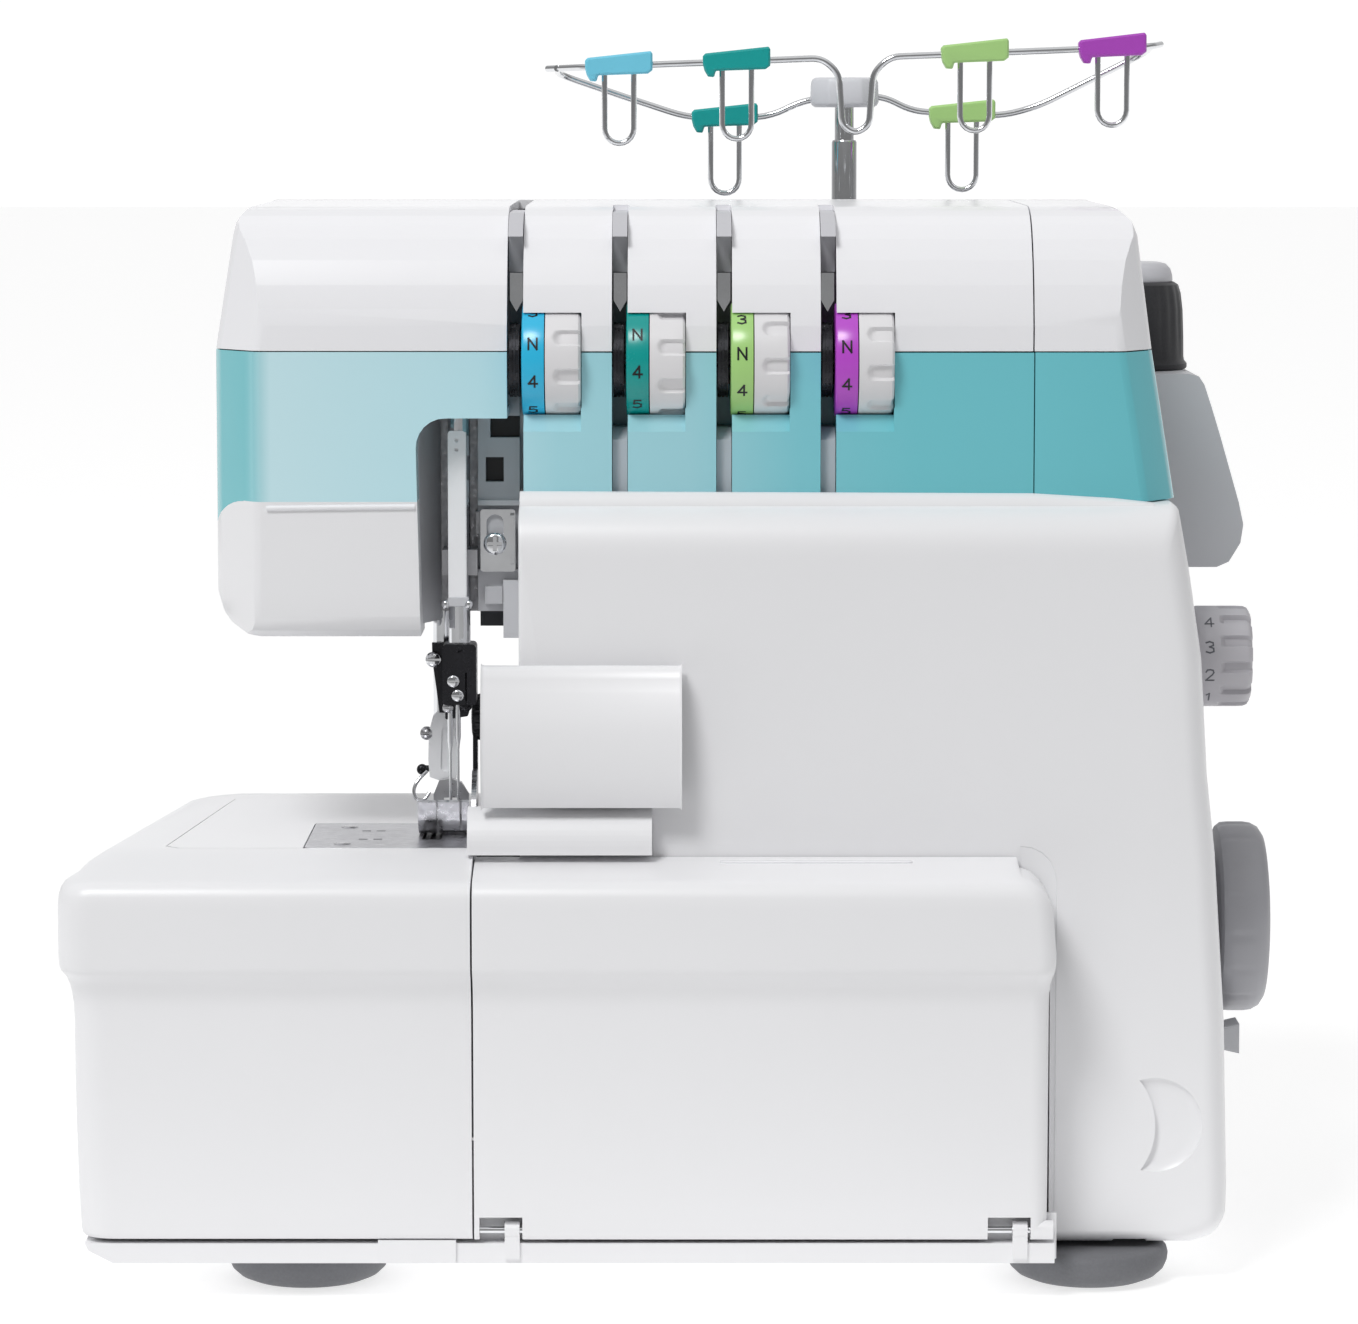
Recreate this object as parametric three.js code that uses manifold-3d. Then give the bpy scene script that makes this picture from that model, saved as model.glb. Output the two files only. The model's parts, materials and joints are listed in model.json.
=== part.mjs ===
// Four-thread overlock machine (serger), modelled as an assembly of separate closed solids.
// Millimetres, +Z up. Inside this file x runs to the operator's right, y runs back from the front
// face of the looper cover and z runs up from the table. The exported group centres the footprint.
import * as THREE from "three";
import { mergeVertices } from "three/addons/utils/BufferGeometryUtils.js";
import Module from "manifold-3d";

const wasm = await Module();
wasm.setup();

// Driving dimensions.
const WALL = 2.5; // moulded shell thickness
const GAP = 0.4; // clearance between pieces that meet
const BED_Z = 120.8; // top of the free arm and of the extension table
const SHELL_BACK = 150; // depth where the front shells end and the rear cover starts
const REAR_BACK = 168; // depth where the rear cover ends and the spool stand starts
const STAND_BACK = 238;
const CASING_FRONT = 28; // depth of the white lower casing's front face
const HEAD_FRONT = 40; // depth of the arm's front face
const HEAD_TOP = 293.8;
const BAND_Z = 255; // white top cover above, coloured fascia below
const LEDGE_Z = 214; // top of the lower casing
const HEAD_BOTTOM = 177;
const STAND_TOP = 242; // spool stand's upper face
const STAND_Y = 198; // depth of the spool pins and of the telescopic pole
const POLE_X = 49.6;
const SPOOL_PITCH = 57;
const PANEL_X = -42.2; // left edge of the first tension panel
const PANEL_PITCH = 28.3;
const SLOT_WIDTH = 4.3; // thread slot between two panels
const DIAL_AT = [50, 252.4]; // tension dials' shaft, as depth and height
const DIAL_R = 15.5;
const SHAFT_AT = [100, 91]; // main shaft, as depth and height
const MOTOR_AT = [124, 50];
const NEEDLE_AT = [-60.6, 60]; // needle bar, as x and depth
const NEEDLES_X = [-63.2, -61.1];
const NEEDLES_Y = 57.6;
const PRESSER_AT = [-65.5, 71]; // presser bar, as x and depth
const KNIFE_AT = [73.5, 151.5]; // upper knife's pivot, as depth and height
const COVER_HINGE = [10.4, 19.6]; // looper cover's hinge rod, as depth and height
const WIRE_STEP = 7;
const GUARD_HINGE = [24.5, 168]; // knife guard's hinge, as depth and height
const LIFTER_AT = [120, 195]; // presser lifter's pivot, as depth and height
const COVER_LEFT = -55.2;
const COVER_RIGHT = 100.9;
const COVER_SLIDE = 6; // travel of the looper cover before it tips open
const CENTRE_X = 0.2;
const CENTRE_Y = STAND_BACK / 2;

// ---- Helpers -------------------------------------------------------------------------------

function toSolid(geometry) {
  const plain = geometry.index ? geometry.toNonIndexed() : geometry.clone();
  plain.deleteAttribute("normal");
  plain.deleteAttribute("uv");
  const merged = mergeVertices(plain, 1e-3);
  return new wasm.Manifold(
    new wasm.Mesh({
      numProp: 3,
      vertProperties: merged.attributes.position.array,
      triVerts: new Uint32Array(merged.index.array),
    }),
  );
}

function toGeometry(solid) {
  const mesh = solid.getMesh();
  const geometry = new THREE.BufferGeometry();
  geometry.setAttribute("position", new THREE.BufferAttribute(mesh.vertProperties, 3));
  geometry.setIndex(new THREE.BufferAttribute(mesh.triVerts, 1));
  geometry.computeVertexNormals();
  return geometry;
}

const join = (...solids) => solids.flat().reduce((a, b) => a.add(b));
const cut = (solid, ...tools) => tools.flat().reduce((a, b) => a.subtract(b), solid);

function box(x0, x1, y0, y1, z0, z1) {
  const g = new THREE.BoxGeometry(x1 - x0, y1 - y0, z1 - z0);
  return toSolid(g.translate((x0 + x1) / 2, (y0 + y1) / 2, (z0 + z1) / 2));
}

// An outline, a list of corners [a, b], extruded to a depth; either turning sense is accepted.
function extrude(outline, depth) {
  const shape = new THREE.Shape(outline.map(([a, b]) => new THREE.Vector2(a, b)));
  return new THREE.ExtrudeGeometry(shape, { depth, bevelEnabled: false });
}

// Outline given as [y, z], extruded along x.
function alongX(outline, x0, x1) {
  const axes = [[0, 1, 0], [0, 0, 1], [1, 0, 0]].map((v) => new THREE.Vector3(...v));
  const turn = new THREE.Matrix4().makeBasis(...axes);
  return toSolid(extrude(outline, x1 - x0).applyMatrix4(turn).translate(x0, 0, 0));
}

// Outline given as [x, z], extruded along y.
function alongY(outline, y0, y1) {
  return toSolid(extrude(outline, y1 - y0).rotateX(Math.PI / 2).translate(0, y1, 0));
}

// Outline given as [x, y], extruded along z.
function alongZ(outline, z0, z1) {
  return toSolid(extrude(outline, z1 - z0).translate(0, 0, z0));
}

// A cylinder along an axis, from one station to another; at holds its two other coordinates.
function rod(axis, at, radius, from, to, sides = 24) {
  const g = new THREE.CylinderGeometry(radius, radius, to - from, sides);
  const mid = (from + to) / 2;
  if (axis === "x") g.rotateZ(-Math.PI / 2).translate(mid, at[0], at[1]);
  if (axis === "y") g.translate(at[0], mid, at[1]);
  if (axis === "z") g.rotateX(Math.PI / 2).translate(at[0], at[1], mid);
  return toSolid(g);
}

// A body of revolution about a vertical axis; the profile [r, z] starts and ends on the axis.
function turned(profile, x, y, sides = 20) {
  const g = new THREE.LatheGeometry(profile.map(([r, z]) => new THREE.Vector2(r, z)), sides);
  return toSolid(g.rotateX(Math.PI / 2).translate(x, y, 0));
}

// The same about an axis that runs towards +x; the profile is [r, x].
function turnedX(profile, [y, z], sides = 32) {
  const g = new THREE.LatheGeometry(profile.map(([r, x]) => new THREE.Vector2(r, x)), sides);
  return toSolid(g.rotateZ(-Math.PI / 2).translate(0, y, z));
}

// A round wire along straight runs joined by bends.
function wire(points, radius, sides = 8, bend = 3) {
  const path = new THREE.CurvePath();
  const p = points.map((v) => new THREE.Vector3(...v));
  let from = p[0];
  for (let i = 1; i < p.length - 1; i++) {
    const start = p[i].clone().add(p[i - 1].clone().sub(p[i]).setLength(bend));
    const end = p[i].clone().add(p[i + 1].clone().sub(p[i]).setLength(bend));
    path.add(new THREE.LineCurve3(from, start));
    path.add(new THREE.QuadraticBezierCurve3(start, p[i], end));
    from = end;
  }
  path.add(new THREE.LineCurve3(from, p[p.length - 1]));
  const ring = new THREE.Shape().absarc(0, 0, radius, 0, 2 * Math.PI);
  const steps = Math.round(path.getLength() / WIRE_STEP);
  const options = { steps, extrudePath: path, bevelEnabled: false, curveSegments: sides / 2 };
  return toSolid(new THREE.ExtrudeGeometry(ring, options));
}

// ---- Materials -----------------------------------------------------------------------------

const finish = (color, roughness, metalness = 0) =>
  new THREE.MeshStandardMaterial({ color, roughness, metalness });
const WHITE = finish(0xeaeaec, 0.3);
const TURQUOISE = finish(0x6fc4cd, 0.25);
const LIGHT_GREY = finish(0xa6a7ab, 0.45);
const CHARCOAL = finish(0x2a2a2c, 0.7);
const STEEL = finish(0xc8c9cc, 0.25, 1);
const CAST = finish(0xb9b9bd, 0.5, 0.4);
const RUBBER = finish(0x6e6f73, 0.8);
const THREADS = [0x2cc0ea, 0x0a9aa0, 0xa9dc7c, 0xb14fc9].map((c) => finish(c, 0.35));

const machine = new THREE.Group();

function add(name, solid, material) {
  const mesh = new THREE.Mesh(toGeometry(solid), material);
  mesh.name = name;
  mesh.geometry.translate(-CENTRE_X, -CENTRE_Y, 0);
  machine.add(mesh);
}

// ---- Outlines shared by several shells --------------------------------------------------------

// Front of both front covers as [y, z], from the bottom edge up to the flat bed.
const frontLine = (inset) => [
  [7.8 + inset, 17.4],
  [6 + inset, 45],
  [5 + inset, 81],
  [1 + inset, 91],
  [inset, 96],
  [inset, 111 - inset / 2],
  [2 + inset * 0.8, 114.6 - inset * 0.8],
  [8 + inset * 0.3, 116.4 - inset],
];

// Right side of the lower casing as [x, z], from its top down to the table edge.
const casingRight = (inset) => [
  [135.3 - inset, LEDGE_Z - inset],
  [138.6 - inset, 196],
  [142.2 - inset, 172],
  [144.1 - inset, 140],
  [146.5 - inset, 118],
  [149.5 - inset, 72],
  [150.7 - inset, 24],
  [147.6 - inset, 14.5 + inset],
  [142 - inset, 10.6 + inset],
];

// Arm seen from the side as [y, z]: front, sloped upper face, crown and flat top.
const armSection = (inset, bottom, back) => [
  [HEAD_FRONT + inset, bottom],
  [back, bottom],
  [back, HEAD_TOP - inset],
  [68, HEAD_TOP - inset],
  [59 + inset / 3, HEAD_TOP - 1.5 - inset],
  [52 + inset * 0.7, 288 - inset],
  [44 + inset * 0.9, 275 - inset / 2],
  [HEAD_FRONT + inset, BAND_Z + 7],
];

// Head seen from the front as [x, z]; its lower right is left open for the needles.
const headOutline = (inset) => [
  [-46.6 - inset, HEAD_TOP + 1],
  [-118 + inset / 2, HEAD_TOP + 1],
  [-122.5 + inset, 289],
  [-127 + inset, BAND_Z],
  [-127 + inset, 190],
  [-124 + inset, 181.5],
  [-116, HEAD_BOTTOM + inset],
  [-71.5 - inset, HEAD_BOTTOM + inset],
  [-71.5 - inset, 229.8 + inset / 2],
  [-69.4 - inset / 2, 234.9 + inset],
  [-64.5, 237 + inset],
  [-46.6 - inset, 237 + inset],
];

const slotLeft = (i) => PANEL_X - SLOT_WIDTH + i * PANEL_PITCH;
const slots = (y0, y1, z0, z1) =>
  [1, 2, 3].map((i) => box(slotLeft(i), slotLeft(i) + SLOT_WIDTH, y0, y1, z0, z1));
const dialLeft = (i) => PANEL_X - 0.4 + i * PANEL_PITCH;
const DIAL_WIDTH = 15.8;
const dialWindows = () =>
  [0, 1, 2, 3].map((i) => {
    const left = dialLeft(i) - 2;
    return rod("x", DIAL_AT, DIAL_R + 0.6, left, dialLeft(i) + DIAL_WIDTH + GAP, 28);
  });

// ---- Base and casings --------------------------------------------------------------------------

const LUGS = [-47, 90];
const LUG_WIDTH = 4;

function baseTray() {
  const front = [
    [-160.5, 16.1],
    [-159.5, 14],
    [-153, 10.6],
    [101.4, 10.6],
    [101.4, 16.1],
  ];
  const lug = (x) =>
    join(
      box(x, x + LUG_WIDTH, 8.6, 14, 12, COVER_HINGE[1]),
      rod("x", COVER_HINGE, 2.4, x, x + LUG_WIDTH, 16),
    );
  const hollow = join(
    box(-156, 98, 18, 146, 13, 30),
    box(96, 136, 86, 146, 15.8, 30),
    box(108, 136, 38, 146, 15.8, 30),
  );
  const inCasing = join(box(105, 139, 35, 149.6, 13.5, 18), box(101, 139, 83, 149.6, 13.5, 18));
  const pan = cut(join(alongY(front, 9.6, 149.6), inCasing), hollow);
  const post = join(box(113, 123, 73.6, 78, 15.2, 65), rod("y", [118, 60], 2, 77, 83.4, 16));
  const holes = LUGS.map((x) => rod("x", COVER_HINGE, 1.35, x - 1, x + LUG_WIDTH + 1, 16));
  return cut(join(pan, LUGS.map(lug), post), holes);
}

function frontCasing() {
  const low = BED_Z + GAP;
  const outer = [[-43.4, low], [-43.4, LEDGE_Z], ...casingRight(0), [102, 10.6], [102, low]];
  const inner = [[-40.9, 90], [-40.9, LEDGE_Z - WALL], ...casingRight(WALL), [104.5, 13.1], [104.5, 90]];
  const ledge = [
    [CASING_FRONT, 0],
    [CASING_FRONT, 206],
    [30, 211],
    [34, 213.4],
    [41, LEDGE_Z],
    [SHELL_BACK, LEDGE_Z],
    [SHELL_BACK, 0],
  ];
  const behind = ledge.map(([y, z]) => [y < SHELL_BACK ? y + WALL : y + 1, z]);
  const shell = alongY(outer, CASING_FRONT, SHELL_BACK).intersect(alongX(ledge, -60, 170));
  const hollow = alongY(inner, CASING_FRONT + WALL, SHELL_BACK + 1).intersect(alongX(behind, -60, 170));
  const ears = [-43.4, -3.4].map((x) =>
    join(
      box(x, x + 3, GUARD_HINGE[0] - 2, CASING_FRONT + 1, GUARD_HINGE[1] - 2, GUARD_HINGE[1] + 2),
      rod("x", GUARD_HINGE, 1.2, x - 3, x + 6, 16),
    ),
  );
  return cut(
    join(cut(shell, hollow), ears),
    box(101, 104.6, 82, 151, 9, low + 1), // the looper bay's end wall stops short of the motor
    box(-36, -8, 20, 34, 126, 160), // knife service opening behind the guard
    box(16, 62, 56, 144, 205, 220), // the cast column rises into the arm
    rod("x", [KNIFE_AT[0], KNIFE_AT[1]], 3.2, -50, -38),
    rod("x", SHAFT_AT, 9, 140, 160),
    rod("x", [90, 166.8], 4, 135, 160),
    box(140, 160, 77.2, 83, 46, 74), // lever slot
    box(140, 160, 112, 130, 27, 43), // power inlet
    box(140, 160, 134, 144, 25, 45), // power rocker
  );
}

function rearCover() {
  const outer = [
    [-118, HEAD_TOP],
    [-122.5, 289],
    [-127, BAND_Z],
    [-127, 190],
    [-124, 181.5],
    [-116, HEAD_BOTTOM],
    [-43.4, HEAD_BOTTOM],
    [-43.4, 10.6],
    ...casingRight(0).reverse(),
    [129.3, BAND_Z],
    [125.2, 286],
    [119, HEAD_TOP],
  ];
  const inner = [
    [-118, HEAD_TOP - WALL],
    [-124.5, BAND_Z],
    [-124.5, 190],
    [-116, HEAD_BOTTOM + WALL],
    [-40.9, HEAD_BOTTOM + WALL],
    [-40.9, 13.1],
    ...casingRight(WALL).reverse(),
    [126.8, BAND_Z],
    [122.7, 286],
    [118, HEAD_TOP - WALL],
  ];
  const edge = 6;
  const back = [
    [SHELL_BACK + GAP, 0],
    [REAR_BACK, 0],
    [REAR_BACK, HEAD_TOP - edge],
    [REAR_BACK - edge, HEAD_TOP],
    [SHELL_BACK + GAP, HEAD_TOP],
  ];
  const shell = alongY(outer, SHELL_BACK + GAP, REAR_BACK).intersect(alongX(back, -140, 170));
  return cut(
    shell,
    alongY(inner, SHELL_BACK, REAR_BACK - 4),
    box(-98, -82, 149, 170, 170, 198), // slot for the lifter lever
  );
}

function topCover() {
  const right = (d) => [
    [PANEL_X + d, BAND_Z + GAP],
    [PANEL_X + d, HEAD_TOP + 1],
    [117 - d, HEAD_TOP + 1],
    [121.5 - d, 292],
    [125.2 - d, 286],
    [129.3 - d, BAND_Z + GAP],
  ];
  const low = (points) => points.map(([x, z]) => [x, z < BAND_Z + 1 ? 200 : z]);
  const shape = (d, bottom) => alongX(armSection(d, bottom, SHELL_BACK + d), -60, 140);
  const outer = alongY(right(0), HEAD_FRONT, SHELL_BACK).intersect(shape(0, BAND_Z + GAP));
  const inner = alongY(low(right(WALL)), HEAD_FRONT, 160).intersect(shape(WALL, 200));
  const armWay = box(PANEL_X - 1, -39, 72, 160, 250, 287);
  return cut(outer, inner, slots(30, 84, 240, 300), dialWindows(), armWay);
}

function tensionFascia() {
  const top = BAND_Z - GAP / 2;
  const block = box(PANEL_X, 96.6, HEAD_FRONT, 66, LEDGE_Z + GAP, top);
  const channel = DIAL_AT;
  const shaftWay = box(-60, 100, channel[0] - 2.8, channel[0] + 2.8, channel[1] - 2.8, 260);
  return cut(block, slots(30, 62, 200, 260), dialWindows(), shaftWay);
}

function rightCap() {
  const face = (d) => [
    [97 + d, LEDGE_Z + GAP + d],
    [136 - d, LEDGE_Z + GAP + d],
    [129.3 - d, BAND_Z - GAP / 2 - d / 10],
    [97 + d, BAND_Z - GAP / 2 - d / 10],
  ];
  return cut(
    alongY(face(0), HEAD_FRONT, SHELL_BACK),
    alongY(face(WALL), HEAD_FRONT + WALL, SHELL_BACK + 1),
    box(90, 125, 70, 151, 210, 260),
  );
}

function faceCover() {
  const section = (d) => alongX(armSection(d, 170, SHELL_BACK + d), -140, -40);
  const outer = alongY(headOutline(0), HEAD_FRONT, SHELL_BACK).intersect(section(0));
  const inner = alongY(headOutline(WALL), HEAD_FRONT, SHELL_BACK + 1).intersect(section(WALL));
  return cut(
    outer,
    inner,
    box(-81, -40, 64.4, 151, 170, 287), // the cast head passes through
    box(-70, -54, 46, 65, 234, 242), // the needle bar passes through
    box(-98, -82, 100, 151, 170, 183), // lifter lever
  );
}

// ---- Cast frame ---------------------------------------------------------------------------------

function castFrame() {
  const arm = [
    [-55.4, 30.4],
    [-136, 30.4],
    [-139.6, 34],
    [-128.8, 128],
    [-55.4, 128],
  ];
  const floor = 62;
  const freeArm = cut(
    alongZ(arm, floor, BED_Z),
    box(-124, -58, 42, 116, floor - 1, 92), // hollow underneath
    box(-98, -50, 40, 74, 96, 125), // feed dog and looper well
    box(-102.5, -50, 29, 78.5, 117.6, 125), // needle plate seat
  );
  const loopers = [LOWER_LOOPER_AT, UPPER_LOOPER_AT].map((at) => rod("y", at, 2.6, 50, 84, 16));
  const body = join(
    freeArm,
    box(-60, 24, 82, 128, floor, BED_Z),
    box(20, 58, 60, 140, 13.6, 208),
    box(20, 58, 74, 140, 200, 285),
    box(-112, 118, 74, 140, 222, 284),
    box(-80, -46, 66, 140, 182, 284),
    box(-65.1, -55.4, 54, 67, 248, 260),
    box(-65.1, -55.4, 54, 67, 193, 200),
    box(-56, -46, 60, 67, 204, 210),
    rod("x", LIFTER_AT, 2.5, -97, -79, 16),
    loopers,
  );
  return cut(
    body,
    rod("x", SHAFT_AT, 6.5, -40, 60),
    box(-34, -12, 85, 115, 76, 106), // eccentric's pocket, open along the shaft
    box(-26, -20, 98, 102, 100, 125),
    rod("z", NEEDLE_AT, 3.3, 190, 290, 16),
    rod("z", PRESSER_AT, 3.3, 170, 290, 16),
  );
}

const LOWER_LOOPER_AT = [-12, 66]; // pivots as x and height
const UPPER_LOOPER_AT = [12, 74];

function needlePlate() {
  const plate = box(-102, -55.9, 30, 78, 118, BED_Z);
  const blade = box(-57.9, -55.9, 44, 60, 110, BED_Z);
  const feedSlot = box(-70.6, -65.4, 46, 76, 110, 130);
  return cut(join(plate, blade), feedSlot, box(-64.8, -59.4, 54, 61, 110, 130));
}

function feedDog() {
  const bar = (x) => box(x, x + 1.4, 51, 70, 112, 120.3);
  return join(bar(-70), bar(-67.4), box(-70, -66, 51, 70, 108, 113));
}

function wasteChute() {
  const section = [
    [19.6, 120.5],
    [27.5, 120.5],
    [27.5, 132.4],
    [26.6, 132.4],
    [25.6, 127.4],
    [23, 123.4],
    [19.6, 121.7],
  ];
  return alongX(section, -57.2, -7.3);
}

// ---- Covers and table ------------------------------------------------------------------------------

function looperCover() {
  const roof = [
    [27.4, BED_Z - 2],
    [27.4, BED_Z - 4.6],
  ];
  const outer = [...frontLine(0), roof[0], [27.4, 17.4]];
  const inner = [...frontLine(WALL), [27.4 - 0.1, roof[1][1]], [28, roof[1][1]], [28, 10], [10.3, 10]];
  const shell = cut(
    alongX(outer, COVER_LEFT, COVER_RIGHT),
    alongX(inner, COVER_LEFT + WALL, COVER_RIGHT - WALL),
  );
  const barrel = rod("x", COVER_HINGE, 2.6, COVER_LEFT, COVER_RIGHT, 20);
  const notches = LUGS.map((x) =>
    box(x - 0.8 - COVER_SLIDE, x + LUG_WIDTH + 0.8, 0, 20, 10, 23.6),
  );
  return cut(
    join(shell, barrel),
    rod("x", COVER_HINGE, 1.35, COVER_LEFT - 1, COVER_RIGHT + 1, 16),
    notches,
    box(COVER_LEFT - 1, COVER_LEFT + WALL + 1, 13.6, 40, 10, 100), // end walls stop above the base
    box(COVER_RIGHT - WALL - 1, COVER_RIGHT + 1, 13.6, 40, 10, 100),
  );
}

function extensionTable() {
  const end = (d) => -55.7 + 2 * d; // the end towards the looper cover is open
  const plan = (d) => [
    [end(d), d],
    [-156, d],
    [-163.5 + d / 2, 3 + d / 2],
    [-166.6 + d, 10],
    [-161.5 + d, 36],
    [-147.6 + d, 138],
    [-142 + d / 2, 146.5 - d / 2],
    [-136, 149.4 - d],
    [end(d), 149.4 - d],
  ];
  const front = [...frontLine(0), [30, BED_Z], [160, BED_Z], [160, 17.4]];
  const inside = [...frontLine(WALL), [30, BED_Z - WALL], [160, BED_Z - WALL], [160, 10], [10, 10]];
  const outer = alongZ(plan(0), 17.4, BED_Z).intersect(alongX(front, -170, -50));
  const inner = alongZ(plan(WALL), 10, BED_Z - WALL).intersect(alongX(inside, -170, -50));
  const armPlan = [
    [-50, 30],
    [-136.2, 30],
    [-140, 34],
    [-129.2, 128.4],
    [-50, 128.4],
  ];
  return cut(outer, inner, alongZ(armPlan, 10, 130));
}

function knifeGuard() {
  const section = [
    [27.2, 169.6],
    [23, 170.9],
    [21.6, 168],
    [19.2, 160],
    [17.6, 150],
    [18.2, 140],
    [20.4, 133.4],
    [22.6, 133.4],
    [20.6, 140],
    [20, 150],
    [21.5, 159],
    [24, 164.6],
    [27.2, 166.4],
  ];
  const shell = join(
    alongX(section, -53.4, 0.8),
    rod("x", GUARD_HINGE, 2.9, -53.4, 0.8, 20),
    alongX([[22, 167], [27.2, 165], [24, 150], [19.5, 135], [18.6, 150]], -53.4, -51.4),
  );
  const earWays = [-43.4, -3.4].map((x) => box(x - 0.5, x + 3.5, 14, 30, 161, 174));
  return cut(shell, earWays, rod("x", GUARD_HINGE, 1.5, -48, 4, 16));
}

// ---- Needle and presser group ------------------------------------------------------------------------

function needleClamp() {
  const [x, y] = NEEDLE_AT;
  const block = cut(box(-65.2, -55.8, 54.6, 65, 157, 174), rod("z", [x, y], 3.3, 160, 180, 16));
  return cut(block, NEEDLES_X.map((n) => rod("z", [n, NEEDLES_Y], 1.1, 150, 163.4, 10)));
}

function needle(x) {
  const profile = [[0, 124], [0.3, 126], [0.6, 130], [0.6, 150], [0.8, 152], [0.8, 163], [0, 163]];
  return turned(profile, x, NEEDLES_Y, 10);
}

function presserBar() {
  const [x, y] = PRESSER_AT;
  const shank = box(-70, -61.4, y - 4.5, y + 4.5, 134, 155);
  return cut(join(rod("z", [x, y], 3, 150, 276, 16), shank), box(-68, -63.4, 60, 80, 130, 139));
}

function presserFoot() {
  const [x, y] = PRESSER_AT;
  const sole = [
    [48.7, 122.6],
    [50.6, 121.2],
    [71, 121.2],
    [79, 122.6],
    [79, 124],
    [48.7, 124.2],
  ];
  const ankle = join(
    box(-67.6, -63.8, y - 3.4, y + 3.4, 123, 136),
    rod("x", [y, 136], 2.4, -67.6, -63.8, 16),
  );
  const feet = cut(alongX(sole, -70.4, -55.9), box(-64.8, -59.4, 52, 63, 110, 130));
  return join(feet, ankle);
}

function lifterLever() {
  const [y, z] = LIFTER_AT;
  const arm = [
    [y - 3, z + 2],
    [y + 4, z + 3],
    [150, 181],
    [176, 171],
    [174, 166.5],
    [142, 173],
  ];
  const lever = join(rod("x", LIFTER_AT, 6, -93, -87), alongX(arm, -93, -87));
  return cut(lever, rod("x", LIFTER_AT, 2.9, -99, -79, 16));
}

function upperKnife() {
  const [y, z] = KNIFE_AT;
  const arm = [
    [y - 4, z],
    [y + 4, z],
    [y - 4, 134],
    [y - 12, 121.4],
    [y - 21, 121.4],
    [y - 14, 134],
  ];
  const blade = join(alongX(arm, -52.6, -50), rod("x", KNIFE_AT, 5, -52.6, -47));
  return cut(blade, rod("x", KNIFE_AT, 2.7, -60, -40, 16));
}

const knifeKnob = () =>
  turnedX(
    [
      [0, -57.8],
      [5.6, -57.8],
      [6.6, -57],
      [6.6, -54.2],
      [5.6, -53.4],
      [2.4, -53.4],
      [2.4, -36],
      [0, -36],
    ],
    KNIFE_AT,
    20,
  );

// ---- Loopers --------------------------------------------------------------------------------------

function looper(at, y, outline) {
  const boss = rod("y", at, 6, y, y + 5, 20);
  return cut(join(boss, alongY(outline, y, y + 3.4)), rod("y", at, 2.9, 40, 90, 16));
}

const lowerLooper = () =>
  looper(LOWER_LOOPER_AT, 64, [
    [-16, 64],
    [-9, 69],
    [-22, 96],
    [-28, 101],
    [-50, 106],
    [-29, 96.6],
    [-24, 92],
  ]);
const upperLooper = () =>
  looper(UPPER_LOOPER_AT, 53, [
    [8, 72],
    [16, 76],
    [4, 98],
    [-8, 105],
    [-42, 112],
    [-10, 100],
    [-1, 94],
  ]);

// ---- Drive ------------------------------------------------------------------------------------------

function mainShaft() {
  const [y, z] = SHAFT_AT;
  const eccentric = rod("x", [y + 3, z], 9, -28, -18);
  const pulley = turnedX([[0, 131], [24, 131], [22, 136.5], [24, 142], [0, 142]], SHAFT_AT, 28);
  return join(rod("x", [y, z], 5, -38, 165.4), eccentric, pulley);
}

function handwheel() {
  const profile = [
    [0, 152],
    [25.5, 152],
    [27, 153.8],
    [27, 162.4],
    [25, 165.8],
    [21, 166.8],
    [16, 165],
    [0, 165],
  ];
  return cut(turnedX(profile, SHAFT_AT, 32), rod("x", SHAFT_AT, 5.35, 150, 175));
}

function motor() {
  const [y, z] = MOTOR_AT;
  const can = join(rod("x", [y, z], 17, 66, 127, 28), box(76, 118, 110, 138, 16.4, 40));
  return cut(can, rod("x", [y, z], 3, 112, 130, 16));
}

const motorPulley = () =>
  turnedX([[0, 114], [2.6, 114], [2.6, 131], [9, 131], [7.6, 136.5], [9, 142], [0, 142]], MOTOR_AT, 24);

// ---- Controls -----------------------------------------------------------------------------------------

function tensionDial(i) {
  const x0 = dialLeft(i) + 0.2;
  const x1 = dialLeft(i) + DIAL_WIDTH;
  const rim = [
    [0, x0],
    [DIAL_R - 0.8, x0],
    [DIAL_R, x0 + 0.8],
    [DIAL_R, x1 - 0.8],
    [DIAL_R - 0.8, x1],
    [0, x1],
  ];
  return cut(turnedX(rim, DIAL_AT, 28), rod("x", DIAL_AT, 2.4, x0 - 1, x1 + 1, 12));
}

function tensionDiscs() {
  const disc = (i) => rod("x", DIAL_AT, 10, slotLeft(i) + 0.7, slotLeft(i) + 3.2, 20);
  return join(rod("x", DIAL_AT, 2, slotLeft(0) + 0.7, 62, 12), [0, 1, 2, 3].map(disc));
}

const stitchDial = () =>
  turnedX(
    [
      [0, 138.5],
      [3.5, 138.5],
      [3.5, 145.1],
      [12.6, 145.1],
      [14.2, 146.9],
      [14.2, 158.6],
      [12, 160.8],
      [0, 160.8],
    ],
    [90, 166.8],
    28,
  );

function feedLever() {
  const bar = join(rod("y", [118, 60], 5, 78.6, 81.8, 20), box(118, 153.2, 78.6, 81.8, 57.5, 62.5));
  const grip = [
    [152.6, 57],
    [157.8, 55.8],
    [157.8, 64.2],
    [152.6, 63],
  ];
  return cut(join(bar, alongY(grip, 74.6, 85.6)), rod("y", [118, 60], 2.35, 70, 90, 16));
}

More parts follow.
